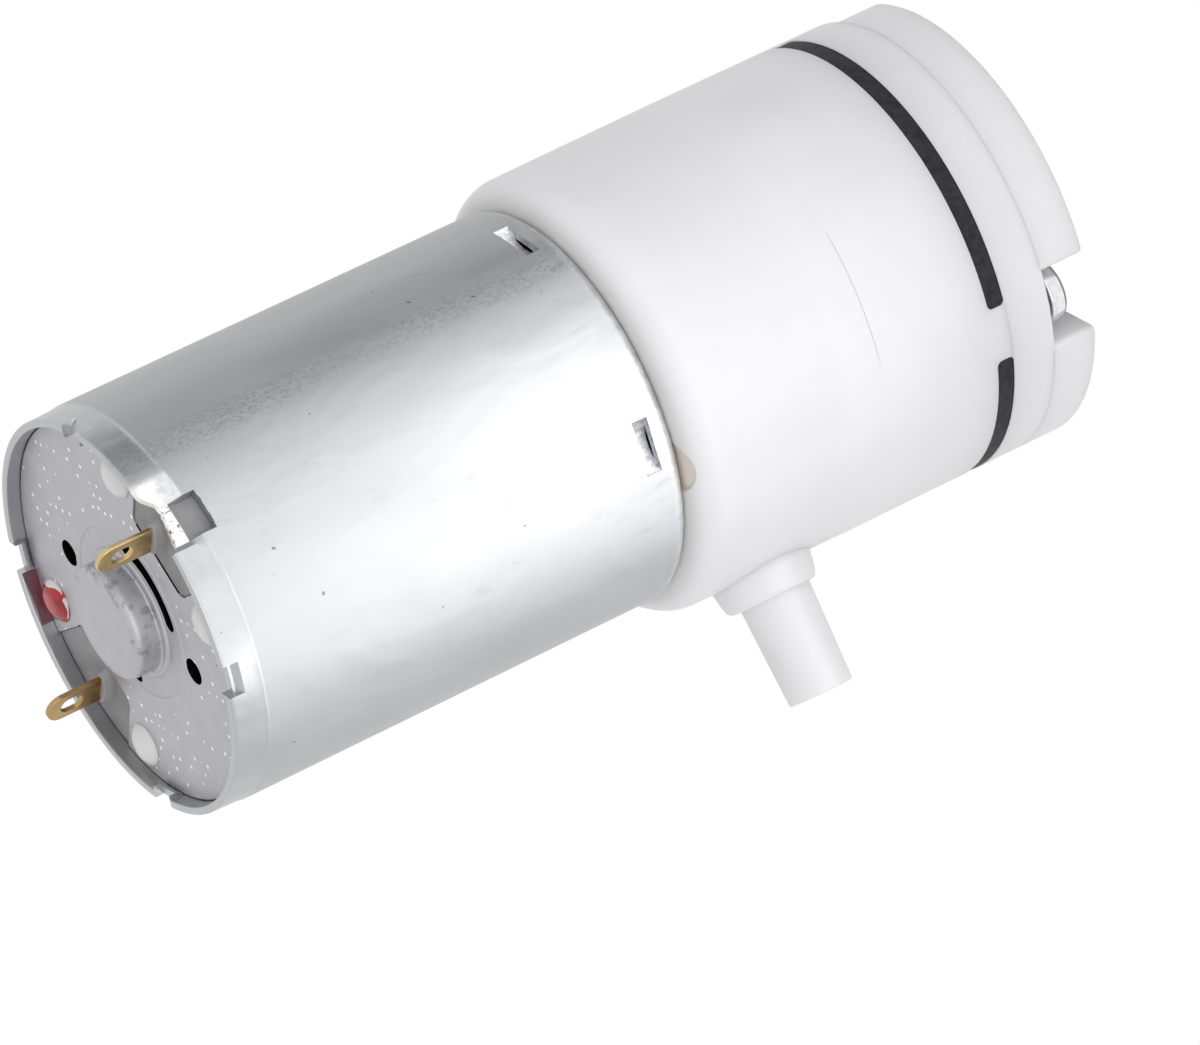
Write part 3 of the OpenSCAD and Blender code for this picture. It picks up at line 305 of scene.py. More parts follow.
# On the rim band just past the window, a painted highlight.
painted_rim_highlight = steel.times(steel.span(ahead, 1.0, 1.4), steel.span(ahead, 3.3, 2.7), rim_band,
                      near_half, steel.span(folds, 0.3, 0.55, 0.5, 1.0))
painted_strip_highlight = steel.blend(steel.span(folds, 0.4, 0.65), (0.74, 0.75, 0.76), (0.46, 0.47, 0.49))
shreds = steel.blend(steel.span(torn_metal, 0.54, 0.60), (0.93, 0.93, 0.94), (0.16, 0.16, 0.18))
tone = steel.blend(cloud, (0.435, 0.44, 0.455), (0.505, 0.51, 0.525))
steel.colour(tone, (steel.times(dirt_and_dark_reflection, 0.5), (0.20, 0.205, 0.22)),
             (steel.times(scuffs, 0.5), (0.17, 0.18, 0.20)),
             (steel.times(pits, 0.7), (0.10, 0.10, 0.11)), (lanced, painted_strip_highlight),
             (painted_edge_reflection, (0.76, 0.765, 0.775)), (painted_rim_highlight, (0.85, 0.855, 0.86)), (on_strip, shreds))
rough = steel.plus(steel.span(cloud, 0.3, 0.7, 0.47, 0.56), steel.times(scuffs, 0.1))
steel.roughness(steel.math("SUBTRACT", rough, steel.times(rim_band, 0.17)))
above = steel.times(steel.span(scuff_side, 0.8, -1.2), near_half)
relief = steel.plus(steel.times(fine, 0.5), cloud, steel.times(wave, 32.0),
                    steel.times(grit, dirt_and_reflection_band, 2.5), steel.times(wrinkle, above, 2.2),
                    steel.times(steel.noise(520, 3, 0.6), rim_band, 4.0))
steel.bump(relief, 0.22, 0.03)

# Columns stand every 1.5 degrees, and closer across the windows, strips and stakes.
half_window = math.degrees(math.asin(WINDOW_W / 2 / CAN_R))
half_lance = math.degrees(math.asin(LANCE_W / 2 / CAN_R))
half_stake = math.degrees(math.asin(STAKE_W / 2 / CAN_R))
step_angles = np.arange(0, 360, 1.5)
edge_angles = []
for side in (0, 180):
    edge_angles.append(side + np.linspace(-half_window, half_window, 13))
    for way in (-1, 1):
        edge_angles.append(side + way * LANCE_TURN + np.linspace(-half_lance, half_lance, 19))
        stake = half_stake * np.array([-1.03, -1, -0.5, 0, 0.5, 1, 1.03])
        edge_angles.append(side + way * STAKE_TURN + stake)
edge_angles = np.unique(np.round(np.concatenate(edge_angles) % 360, 6))
away = np.abs((step_angles[:, None] - edge_angles + 180) % 360 - 180).min(1)
columns = np.unique(np.concatenate((step_angles[away > 0.5], edge_angles)))


def near(turn, half, centres=columns):
    """Angle from the nearest of a feature's two places, and if it lies within half."""
    off = np.minimum(np.abs((centres - turn + 180) % 360 - 180),
                     np.abs((centres - turn) % 360 - 180))
    return off, off <= half + 1e-6


# Rows run from the bush's hub over the front corner and up the side to the rim.
corner_turn = np.radians(np.linspace(-90, 0, 8))
corner_z = CAN_Z0 + CAN_CORNER + CAN_CORNER * np.sin(corner_turn)
corner_r = CAN_R - CAN_CORNER + CAN_CORNER * np.cos(corner_turn)
inner_z = CAN_Z0 + CAN_FRONT + INNER_CORNER + INNER_CORNER * np.sin(corner_turn)
inner_r = CAN_R - CAN_WALL - INNER_CORNER + INNER_CORNER * np.cos(corner_turn)
side_z = np.concatenate(([28.7, 28.9, LANCE_Z0, LANCE_Z0], np.linspace(29.04, 29.96, 5),
                         [LANCE_Z1, LANCE_Z1, 30.2], np.linspace(31, 55, 13),
                         np.linspace(WINDOW_Z0, 55.95, 4), np.linspace(56.05, 56.35, 5),
                         [56.7, WINDOW_Z1, STAKE_Z, 57.5, 57.7, STRIP_TOP, STAKE_TOP, 58.0,
                          58.2]))
rim_turn = np.radians(np.linspace(0, 80, 5))
rim_z = CAN_Z1 - RIM_EDGE + RIM_EDGE * np.sin(rim_turn)
rim_in = RIM_EDGE - RIM_EDGE * np.cos(rim_turn)
hub_r = [HUB_IN, HUB_R - 0.2, HUB_R, HUB_R, 11.0]
row_z = np.concatenate(([HUB_Z, HUB_Z, HUB_Z + 0.2, CAN_Z0, CAN_Z0], corner_z, side_z, rim_z))
row_r = np.concatenate((hub_r, corner_r, np.full(len(side_z), CAN_R), CAN_R - rim_in))
back_z = np.concatenate((np.full(5, CAN_Z0 + CAN_FRONT), inner_z, side_z, rim_z))
back_r = np.concatenate((hub_r, inner_r, np.full(len(side_z), CAN_R - CAN_WALL),
                         CAN_R - CAN_WALL + rim_in))
grid_z, grid_a = np.meshgrid(row_z, columns, indexing="ij")
back_z_grid = np.repeat(back_z[:, None], len(columns), 1)
out_r = np.repeat(row_r[:, None], len(columns), 1)
in_r = np.repeat(back_r[:, None], len(columns), 1)

# The band under the rim is drawn in, hardly so from 15 to 98 degrees of the pump.
drawn_in = RIM_BAND_IN * ease((grid_z - RIM_BAND_Z + 0.15) / 0.3)
drawn_in += 0.05 * ease((grid_z - RIM_BAND_Z) / 2.2)
facing = (grid_a + MOTOR_TURN) % 360
drawn_in *= 1 - 0.85 * ease((98 - facing) / 14) * ease((facing - 15) / 14)
out_r -= drawn_in

# Each lanced strip bows in along a circle through its two ends and its deepest point,
# next to a shallow dent in the wall. Each stake bends the rim's top inwards.
chord = math.sqrt(CAN_R ** 2 - LANCE_W ** 2 / 4)
sag = chord - CAN_R + LANCE_DEEP
arc_r = (LANCE_W ** 2 / 4 + sag ** 2) / (2 * sag)
arc_x = CAN_R - LANCE_DEEP + arc_r
lance_rows = np.zeros((len(row_z), 1), bool)
lance_rows[np.flatnonzero(row_z == LANCE_Z0)[1]:np.flatnonzero(row_z == LANCE_Z1)[0] + 1] = True
for way in (-1, 1):
    off, inside = near(way * LANCE_TURN, half_lance)
    sway = np.radians(np.where(inside, off, half_lance))
    deep = arc_x * np.cos(sway) - np.sqrt(arc_r ** 2 - (arc_x * np.sin(sway)) ** 2)
    pushed = np.where(inside, CAN_R - np.minimum(deep, CAN_R), 0) * lance_rows
    dent = DENT_DEEP * ease(1 - off / (DENT_WIDE * half_lance))
    before = ease((grid_z - DENT_Z) / 0.5) * (grid_z <= LANCE_Z0) * ~lance_rows
    out_r -= pushed + dent * before
    in_r -= pushed
    off, inside = near(way * STAKE_TURN, half_stake)
    bent = STAKE_IN * ease((grid_z - STAKE_Z) / 0.4) * inside
    out_r -= bent
    in_r -= bent * (grid_z > STAKE_Z)

# Beside the near window the staking tool has pushed the rim in and cut it down.
signed = (columns + 90) % 180 - 90
beside = ease((PUSH_END - signed) / (PUSH_END - half_window)) * (signed >= -half_window - 1e-6)
near_side = (columns + 90) % 360 < 180
strip = ease((grid_z - RIM_BAND_Z) / 0.9) * STRIP_IN * (beside * near_side)
out_r -= strip
in_r -= strip
rim_top = np.where(signed > half_window, CAN_Z1 - CUT_DEEP * ease((CUT_END - signed) / CUT_LONG),
                   STRIP_TOP - STRIP_SLOPE * (signed + half_window) / (2 * half_window))
rim_top = np.where((signed < -half_window - 1e-6) | ~near_side, CAN_Z1, rim_top)
lowered = (rim_top - WINDOW_Z1) / (CAN_Z1 - WINDOW_Z1)
grid_z, back_z_grid = (np.where(level > WINDOW_Z1, WINDOW_Z1 + (level - WINDOW_Z1) * lowered, level)
                       for level in (grid_z, back_z_grid))

# Left open: the windows, and the rim over the stakes. Torn edges wander a little.
mid_z = (row_z[:-1] + row_z[1:])[:, None] / 2
mid_a = (columns + np.append(columns[1:], columns[0] + 360)) / 2
present = ~((mid_z > WINDOW_Z0) & (mid_z < WINDOW_Z1) & near(0, half_window, mid_a)[1])
for way in (-1, 1):
    present &= ~((mid_z > STAKE_TOP) & near(way * STAKE_TURN, half_stake, mid_a)[1])
torn = np.random.default_rng(4).uniform(-1, 1, grid_z.shape)
at_window = near(0, half_window + 0.1)[1] & (np.abs(grid_z - WINDOW_Z0) < 0.02)
at_strip = near(0, half_window + 3)[1] & near_side & (grid_z > rim_top - 0.11)
tear = TEAR_WINDOW * torn * at_window + TEAR_RIM * torn[-1] * at_strip
outer = polar(out_r, grid_a + MOTOR_TURN, grid_z + tear)
inner = polar(in_r, grid_a + MOTOR_TURN, back_z_grid + tear)
build("can", [shell(outer, inner, present)], steel.material, "motor_can")


# The motor's end plate: a steel stamping with a drawn boss round the rear bush, two
# round vents, two curved ones and two cutouts for the terminals. Rows of small
# dimples from the press show on its face in relief and as painted glints. The boss's side
# is darkened by wear and painted shade, and the bore and underside are painted black as shade.
PLATE_R, PLATE_LOW, PLATE_TOP, BORE_R = 11.55, 56.47, 57.37, 3.3
CUTOUT_R, CUTOUT_CORNER, CUTOUT_TURN, CUTOUT_SPREAD = 7.2, 0.8, 20, 0.3527
VENT_R, VENT_D, VENT_TURN = 6.5, 1.6, 60
SLOT_IN, SLOT_W, SLOT_SPAN, SLOT_LAG = 4.2, 0.9, 66, 3
POST_R, POST_D, POST_TURN = 9.8, 1.6, 30.5
BOSS_R, BOSS_TOP, BOSS_EDGE = 3.5, 59.17, 0.55


def arc(centre, r, start, end, count):
    """Points of an arc about a centre, from one angle in degrees to another."""
    turn = np.radians(np.linspace(start, end, count))
    return np.stack((centre[0] + r * np.cos(turn), centre[1] + r * np.sin(turn)), -1)


def round_hole(centre, r, count):
    """A circle's points, clockwise as the outline of a hole runs."""
    return arc(centre, r, 360, 0, count + 1)[:-1]


def turned(points, angle):
    """Points turned about the axis by an angle in degrees."""
    c, s = math.cos(math.radians(angle)), math.sin(math.radians(angle))
    out = points.copy()
    out[..., 0] = points[..., 0] * c - points[..., 1] * s
    out[..., 1] = points[..., 0] * s + points[..., 1] * c
    return out


def placed(parts, turn=0.0, shift=(0, 0, 0)):
    """Parts turned about the axis by an angle in degrees, then moved by the shift."""
    return [(turned(points, turn) + shift, faces) for points, faces in parts]


def outward(outline):
    """Unit normals of a closed outline that runs round the material anticlockwise."""
    ahead = np.roll(outline, -1, 0) - outline
    ahead /= np.linalg.norm(ahead, axis=1, keepdims=True) + 1e-12
    along = ahead + np.roll(ahead, 1, 0)
    normal = np.stack((along[:, 1], -along[:, 0]), -1)
    return normal / (np.linalg.norm(normal, axis=1, keepdims=True) + 1e-12)


def plate(outlines, z0, z1, low_edge, high_edge):
    """A flat plate. Each outline's wall climbs from z0 to z1, drawn in along the
    outline's normals by a quarter circle at both edges; the two faces are filled
    between the innermost rows. The first outline runs anticlockwise, holes clockwise."""
    turn = np.radians(np.linspace(0, 90, 5))
    inset = np.concatenate(([low_edge + 0.03], low_edge * (1 - np.sin(turn)),
                            high_edge * (1 - np.sin(turn[::-1])), [high_edge + 0.03]))
    level = np.concatenate(([z0], z0 + low_edge * (1 - np.cos(turn)),
                            z1 - high_edge * (1 - np.cos(turn[::-1])), [z1]))
    parts, rims = [], []
    for outline in outlines:
        flat = outline - outward(outline) * inset[:, None, None]
        rows = np.concatenate((flat, np.broadcast_to(level[:, None, None],
                                                     (*flat.shape[:2], 1))), -1)
        parts.append((rows.reshape(-1, 3), lattice(len(level), len(outline), True)))
        rims.append(rows)
    for row, up in ((0, False), (-1, True)):
        loops = [rows[row].tolist() for rows in rims]
        faces = np.array(tessellate_polygon(loops))
        points = np.concatenate([rows[row] for rows in rims])
        a, b, c = (points[faces[:, k], :2] for k in range(3))
        side = np.cross(b - a, c - a)
        faces = faces[np.abs(side) > 1e-9]
        side = side[np.abs(side) > 1e-9]
        wrong = (side > 0) != up
        faces[wrong] = faces[wrong][:, ::-1]
        parts.append((points, faces))
    return parts


def revolved(profile, count=96):
    """A profile of radius and height pairs carried round the axis; it runs so that
    the outside is on its right."""
    turn = np.arange(count) * 360 / count
    points = polar(profile[:, :1], turn, profile[:, 1:])
    return points.reshape(-1, 3), lattice(len(profile), count, True)


def rounded(corners, steps=5):
    """A profile through corners given as radius, height and rounding: each corner is
    cut back by the rounding along both sides and bridged by a quadratic curve."""
    corners = np.array(corners, float)
    rows = []
    for k, (r, z, size) in enumerate(corners):
        here = np.array((r, z))
        if size == 0 or k in (0, len(corners) - 1):
            rows.append(here[None])
            continue
        before, after = corners[k - 1, :2] - here, corners[k + 1, :2] - here
        p0 = here + before / np.linalg.norm(before) * size
        p2 = here + after / np.linalg.norm(after) * size
        t = np.linspace(0, 1, steps + 1)[:, None]
        rows.append((1 - t) ** 2 * p0 + 2 * t * (1 - t) * here + t * t * p2)
    return np.concatenate(rows)


def cutout_points(grow, reach):
    """The cutout's edge for a side at angle 0, from the outer circle of radius reach
    inwards, round its two corners and out again, widened by grow. Each leg keeps every
    60th of 600 points, as far as the circle."""
    half_w = (CUTOUT_R + CUTOUT_CORNER) * math.tan(math.radians(CUTOUT_TURN)) + grow
    inner = CUTOUT_R - grow
    far = np.linspace(CUTOUT_R + CUTOUT_CORNER, reach, 600)
    wide = half_w + (far - CUTOUT_R - CUTOUT_CORNER) * CUTOUT_SPREAD
    stop = np.argmin(np.abs(np.hypot(far, wide) - reach))
    leg = np.stack((far[:stop + 1:60], -wide[:stop + 1:60]), -1)[1:]
    leg = np.concatenate((leg, [[far[stop], -wide[stop]]]))[::-1]
    corner = arc((inner + CUTOUT_CORNER, -half_w + CUTOUT_CORNER), CUTOUT_CORNER, 270, 180, 9)
    lower = np.concatenate((leg, corner))
    upper = lower[::-1] * (1, -1)
    return np.concatenate((lower, upper))


press = Nodes("end_plate_steel", (0.40, 0.40, 0.42), 0.5, 0.85)
x, y, z = press.axes()
radius = press.length(x, y)
mottle = press.noise(700, 5, 0.6)
dots = press.tree.nodes.new("ShaderNodeTexVoronoi")
dots.inputs["Scale"].default_value = 1250
dots.inputs["Randomness"].default_value = 0.32
press.put(dots.inputs["Vector"], press.moved(scale=(0.95, 1.15, 0.0001), turn=(0, 0, 24)))
pick = press.tree.nodes.new("ShaderNodeSeparateColor")
press.put(pick.inputs[0], dots.outputs["Color"])
# The dimples show in relief and as painted glints.
dimple_and_glint = press.times(press.span(dots.outputs["Distance"], 0.18, 0.12), press.over(pick.outputs[0], 0.25),
                  press.span(radius, 6.0, 6.2), press.under(z, PLATE_TOP + 0.02))
# Wear and a painted shade darken the boss's side.
wear_and_boss_shade = press.times(press.span(press.noise(1500, 6, 0.7), 0.52, 0.66),
                   press.span(radius, 2.6, 3.3), press.under(radius, BOSS_R + 0.2))
# The bore, the vents' walls and the plate's underside are painted black as shade.
painted_bore_shade = press.times(press.under(z, PLATE_TOP - 0.04), press.under(radius, 7.6))
tone = press.blend(press.span(mottle, 0.3, 0.7), (0.455, 0.455, 0.48), (0.51, 0.51, 0.535))
press.colour(tone, (press.times(wear_and_boss_shade, 0.6), (0.16, 0.165, 0.175)), (dimple_and_glint, (0.95, 0.95, 0.95)),
             (painted_bore_shade, (0.004, 0.004, 0.004)))
press.roughness(press.span(mottle, 0.3, 0.7, 0.46, 0.56))
press.bump(press.plus(press.times(mottle, 0.4), dimple_and_glint), 0.35, 0.03)

start = cutout_points(0, PLATE_R)[0]
beta = math.degrees(math.atan2(-start[1], start[0]))
outer_line = []
for side in (0, 180):
    outer_line.append(turned(cutout_points(0, PLATE_R), side))
    outer_line.append(arc((0, 0), PLATE_R, side + beta, side + 180 - beta, 90)[1:-1])
holes = []
for side in (0, 180):
    holes.append(round_hole(polar(VENT_R, side - VENT_TURN), VENT_D / 2, 32))
    for way in (-1, 1):
        holes.append(round_hole(polar(POST_R, side + way * POST_TURN), POST_D / 2, 24))
    start, end = side - SLOT_LAG - SLOT_SPAN / 2, side - SLOT_LAG + SLOT_SPAN / 2
    tips = polar(SLOT_IN + SLOT_W / 2, np.array((start, end)))
    slot_line = np.concatenate((arc((0, 0), SLOT_IN + SLOT_W, start, end, 40),
                                arc(tips[1], SLOT_W / 2, end, end + 180, 11)[1:-1],
                                arc((0, 0), SLOT_IN, end, start, 40),
                                arc(tips[0], SLOT_W / 2, start + 180, start + 360, 11)[1:-1]))
    holes.append(slot_line[::-1])
holes.append(round_hole((0, 0), BORE_R, 96))
parts = plate([np.concatenate(outer_line)] + holes, PLATE_LOW, PLATE_TOP, 0.05, 0.06)
boss = rounded([(0.0, BOSS_TOP, 0), (BOSS_R, BOSS_TOP, BOSS_EDGE),
                (BOSS_R, PLATE_TOP + 0.16, 0.16), (3.78, PLATE_TOP + 0.16, 0.03),
                (3.92, PLATE_TOP + 0.12, 0.03), (4.02, PLATE_TOP - 0.02, 0)])
ring = rounded([(5.22, PLATE_TOP - 0.02, 0), (5.28, PLATE_TOP + 0.055, 0.03),
                (5.62, PLATE_TOP + 0.05, 0.04), (5.76, PLATE_TOP - 0.02, 0)])
under = np.array([(BORE_R, PLATE_LOW), (2.9, PLATE_LOW + 0.4), (2.4, BOSS_TOP - 0.6),
                  (0.0, BOSS_TOP - 0.6)])
parts += [revolved(line[::-1]) for line in (boss, ring, under)]
build("end_plate", placed(parts, MOTOR_TURN), press.material, "motor_end_plate")


# The brush holder: one nylon moulding behind the end plate. Its grey pads fill the
# plate's cutouts, a foot stands round each terminal's root, and four posts are melted
# over the plate into pale domes.
HOLDER_R, HOLDER_LOW, SHAFT_HOLE, HOLDER_VENT_R = 11.5, 54.47, 3.6, 1.15
HOLDER_SLOT_IN, HOLDER_SLOT_OUT, HOLDER_SLOT_HALF = 3.95, 5.3, 37
PAD_PLAY, PAD_TOP = 0.03, 57.26
DOME_R, DOME_H = 1.34, 0.56
TERMINAL_R, TERMINAL_TURN, TERMINAL_TWIST = 9.0, 4.2, 16.7
FOOT_LONG, FOOT_WIDE, FOOT_H = 1.5, 0.6, 0.56
nylon = Nodes("grey_nylon", (0.25, 0.25, 0.26), 0.45)
x, y, z = nylon.axes()
grain = nylon.noise(1400, 4, 0.6)
cloudy = nylon.noise(500, 3, 0.5)
aside = nylon.off(nylon.along(x, y, MOTOR_TURN + 90))
melted = nylon.times(nylon.span(z, PLATE_TOP - 0.02, PLATE_TOP + 0.01),
                     nylon.span(aside, 2.2, 3.4, 0.12, 1.0))
# Below the plate, inside its openings, the nylon is painted black as shade.
painted_hollow_shade = nylon.times(nylon.under(z, PLATE_LOW + 0.03), nylon.under(nylon.length(x, y), 7.8))
tone = nylon.blend(nylon.span(cloudy, 0.3, 0.7), (0.225, 0.225, 0.235), (0.30, 0.30, 0.31))
nylon.colour(tone, (painted_hollow_shade, (0.004, 0.004, 0.004)), (melted, (0.74, 0.74, 0.74)))
nylon.roughness(nylon.span(melted, 0.0, 1.0, 0.5, 0.24))
nylon.bump(nylon.plus(grain, cloudy), 0.2, 0.03)

openings = [round_hole((0, 0), SHAFT_HOLE, 72)]
for side in (0, 180):
    openings.append(round_hole(polar(VENT_R, side - VENT_TURN), HOLDER_VENT_R, 32))
    start, end = (side - SLOT_LAG + way * HOLDER_SLOT_HALF for way in (-1, 1))
    openings.append(np.concatenate((arc((0, 0), HOLDER_SLOT_OUT, start, end, 40),
                                    arc((0, 0), HOLDER_SLOT_IN, end, start, 40)))[::-1])
disc = arc((0, 0), HOLDER_R, 0, 360, 181)[:-1]
parts = plate([disc] + openings, HOLDER_LOW, PLATE_LOW, 0.05, 0.05)
pad = cutout_points(-PAD_PLAY, HOLDER_R)
pad_beta = math.degrees(math.atan2(-pad[0, 1], pad[0, 0]))
pad = np.concatenate((pad[::-1], arc((0, 0), HOLDER_R, -pad_beta, pad_beta, 40)[1:-1]))
dome = rounded([(0.0, PLATE_TOP + DOME_H, 0), (DOME_R * 0.72, PLATE_TOP + DOME_H * 0.86, 0.5),
                (DOME_R, PLATE_TOP + 0.06, 0.10), (DOME_R - 0.04, PLATE_TOP - 0.02, 0)], 8)[::-1]
foot = rounded([(0.0, PAD_TOP + FOOT_H, 0), (0.78, PAD_TOP + FOOT_H - 0.02, 0.12),
                (1.0, PAD_TOP, 0.25), (1.2, PAD_TOP - 0.02, 0)], 8)[::-1]
for side in (0, 180):
    parts += placed(plate([pad], PLATE_LOW - 0.2, PAD_TOP, 0.05, 0.05), side)
    for way in (-1, 1):
        parts += placed([revolved(dome, 48)], shift=polar(POST_R, side + way * POST_TURN))
    points, faces = revolved(foot, 48)
    parts += placed([(points * (FOOT_LONG, FOOT_WIDE, 1), faces)], TERMINAL_TWIST + side,
                    polar(TERMINAL_R, side + TERMINAL_TURN))
build("brush_holder_moulding", placed(parts, MOTOR_TURN), nylon.material, "brush_holder")


# The polarity mark: a dab of red lacquer over one of the posts, brushed on by hand,
# so that some of it runs onto the plate and the rim beside it.
MARK_TURN = 180 - POST_TURN
SMEAR_R, SMEAR_LOW, SMEAR_HIGH = 11.56, 0.02, 0.86
lacquer = Nodes("red_lacquer", (0.62, 0.035, 0.03), 0.3, Coat_Weight=0.2, Coat_Roughness=0.1)
x, y, z = lacquer.axes()
thick = lacquer.noise(900, 4, 0.6)
tone = lacquer.blend(lacquer.span(thick, 0.35, 0.65), (0.50, 0.012, 0.018), (0.28, 0.006, 0.012))
thin = lacquer.blend(lacquer.span(z, PLATE_TOP + 0.13, PLATE_TOP + 0.73),
                     (0.20, 0.045, 0.055), (0.135, 0.085, 0.105))
on_rim = lacquer.span(lacquer.length(x, y), SMEAR_R - 0.31, SMEAR_R - 0.21)
lacquer.colour(tone, (on_rim, thin))
lacquer.bump(thick, 0.4, 0.05)
dab_turn = np.linspace(0, 360, 61)[:-1]
wobble = 1 + 0.03 * np.sin(np.radians(3 * dab_turn + 40)) + 0.02 * np.sin(np.radians(5 * dab_turn))
dab_rows = np.linspace(0, 1, 12)[:, None]
bare_side = np.maximum(0, np.cos(np.radians(dab_turn - MARK_TURN + 105)))
dab_r = (1.12 * DOME_R - 0.42 * bare_side ** 3) * dab_rows * wobble
dab_z = np.interp(dab_r, dome[::-1][:-1, 0], dome[::-1][:-1, 1]) + 0.05 - 0.09 * dab_rows ** 8
dab = polar(dab_r, dab_turn, dab_z) + polar(POST_R, MARK_TURN)
smear_a = np.linspace(MARK_TURN - 9, MARK_TURN + 7, 40)
smear_rows = np.linspace(0, 1, 10)[:, None]
smear_top = SMEAR_HIGH - 0.21 * np.abs(np.sin(np.radians(smear_a * 9)))
smear_z = PLATE_TOP + SMEAR_LOW + (smear_top - SMEAR_LOW) * smear_rows
smear = polar(SMEAR_R - 0.02 * np.sin(np.pi * smear_rows), smear_a, smear_z)
mark = [(dab.reshape(-1, 3), lattice(12, 60, True)),
        (smear.reshape(-1, 3), lattice(10, 40)[:, ::-1])]
build("polarity_mark", placed(mark, MOTOR_TURN), lacquer.material)


# The two terminals: stamped brass tabs with a long eye, one at each side, set a
# little askew as they leave the brush holder.
TERMINAL_W, TERMINAL_T, TERMINAL_TIP = 1.9, 0.3, 61.347
EYE_L, EYE_W, EYE_DROP = 1.4, 1.0, 1.6
brass = Nodes("terminal_brass", (0.66, 0.46, 0.19), 0.34, 1.0)
x, y, z = brass.axes()
tarnish = brass.noise(900, 5, 0.65)
root = brass.span(z, PLATE_TOP + 1.83, PLATE_TOP + 0.23)
stain = brass.times(brass.span(tarnish, 0.35, 0.6), brass.plus(root, 0.25))
# The brass is darker towards -y.
darker_to_minus_y = brass.times(brass.span(y, 2, -2), 0.6)
tone = brass.blend(brass.span(tarnish, 0.3, 0.7), (0.62, 0.45, 0.20), (0.80, 0.63, 0.36))
brass.colour(tone, (darker_to_minus_y, (0.38, 0.235, 0.10)), (stain, (0.27, 0.14, 0.045)))
brass.roughness(brass.span(tarnish, 0.3, 0.7, 0.3, 0.46))
brass.bump(tarnish, 0.25, 0.02)
tip_r = TERMINAL_W / 2
eye_z = TERMINAL_TIP - EYE_DROP
eye_half = (EYE_L - EYE_W) / 2
eye = np.concatenate((arc((0, eye_z + eye_half), EYE_W / 2, 0, 180, 15),
                      arc((0, eye_z - eye_half), EYE_W / 2, 180, 360, 15)))[::-1]
for name, side in (("terminal_pos", 0), ("terminal_neg", 180)):
    foot_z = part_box(name)[0][2] / MM
    edge = np.stack((np.full(8, -tip_r), np.linspace(TERMINAL_TIP - tip_r - 0.3, foot_z, 8)), -1)
    tab = np.concatenate((arc((0, TERMINAL_TIP - tip_r), tip_r, 0, 180, 33), edge,
                          edge[::-1] * (-1, 1)))
    tab = [(points[:, [0, 2, 1]] * (1, -1, 1), faces)
           for points, faces in plate([tab, eye], -TERMINAL_T / 2, TERMINAL_T / 2, 0.05, 0.05)]
    parts = placed(tab, TERMINAL_TWIST + MOTOR_TURN + side,
                   polar(TERMINAL_R, TERMINAL_TURN + MOTOR_TURN + side))
    build(name + "_tab", parts, brass.material, name)


# The crankcase: a white moulded cup that carries the motor, with a round shoulder and
# the inlet nozzle in one piece. A shallow ejector recess shows beside the can.
HEAD_R, CASE_Z0, CASE_Z1, CASE_IN, CASE_FLOOR = 13.6, 14.65, 27.7, 11.9, 25.3
SHOULDER_R, CASE_DRAFT, CASE_BORE = 1.7, 0.1, 3.2
NOZZLE_Z, NOZZLE_END, COLLAR_LIFT = 21.05, 21.3, 0.15
SCREW_R, SCREW_TURN, COLUMN_R = 11.3, 58.5, 2.0
RECESS_R, RECESS_DEEP, RECESS_TURN = 1.58, 0.12, 59.3
recess_x, recess_y = polar(SCREW_R, RECESS_TURN)[:2]

# The white varies a little, with two faint seams, a shadow beside the rubber band,
# painted contact shade beside the can, a painted tan shade in the recess and painted
# light that makes the end cover lighter.
white = Nodes("white_abs", (0.82, 0.82, 0.832), 0.46, Subsurface_Scale=0.0025,
              Subsurface_Radius=(1, 0.95, 1))
x, y, z = white.axes()
radius = white.length(x, y)
flow = white.noise(160, 3, 0.5)
skin = white.noise(3200, 4, 0.6)
patch = white.span(white.noise(120, 2), 0.40, 0.55)
opened = white.times(white.span(x, -3.0, -1.4), white.span(x, 6.2, 4.6), white.over(y, 0.0))
cover_seam = white.times(white.span(white.off(z, 3.0), 0.06, 0.02), 0.1, patch)
case_seam = white.times(white.span(white.off(z, CASE_Z0 - 0.05), 0.06, 0.02), 0.5, opened)
seams = white.math("MAXIMUM", cover_seam, case_seam)
shade = white.times(white.span(z, 4.0, 5.8), white.span(z, 10.0, 7.2),
                    white.span(radius, HEAD_R - 0.6, HEAD_R - 0.3))
# Beside the can the shoulder gets a painted contact shade.
painted_contact_shade = white.times(white.span(z, CASE_Z1 - 1.3, CASE_Z1), white.span(radius, 13.4, 12.1))
# In the recess, a painted warm shade, tan in colour.
from_recess = white.length(white.math("SUBTRACT", x, recess_x),
                           white.math("SUBTRACT", y, recess_y))
tan = white.times(white.span(from_recess, RECESS_R + 0.02, RECESS_R - 0.06), white.over(z, 26.0))
tone = white.blend(white.span(flow, 0.3, 0.7), (0.812, 0.806, 0.832), (0.842, 0.836, 0.86))
# Towards the end cover the white is painted lighter, as painted light.
white.colour(tone, (white.span(z, 4.6, 2.6), (0.90, 0.895, 0.92)),
             (white.times(shade, 0.35), (0.70, 0.695, 0.715)),
             (white.times(painted_contact_shade, 0.55), (0.52, 0.52, 0.49)),
             (tan, (0.66, 0.60, 0.535)), (seams, (0.42, 0.42, 0.44)))
white.roughness(white.span(flow, 0.3, 0.7, 0.42, 0.5))
depth = white.times(white.span(white.off(z, CASE_Z0), 1.0, 4.0), white.span(z, 3.2, 2.2, 0.3, 0.55))
white.put(white.shader.inputs["Subsurface Weight"], depth)
white.bump(white.math("SUBTRACT", white.times(skin, 0.3), seams), 0.15, 0.03)

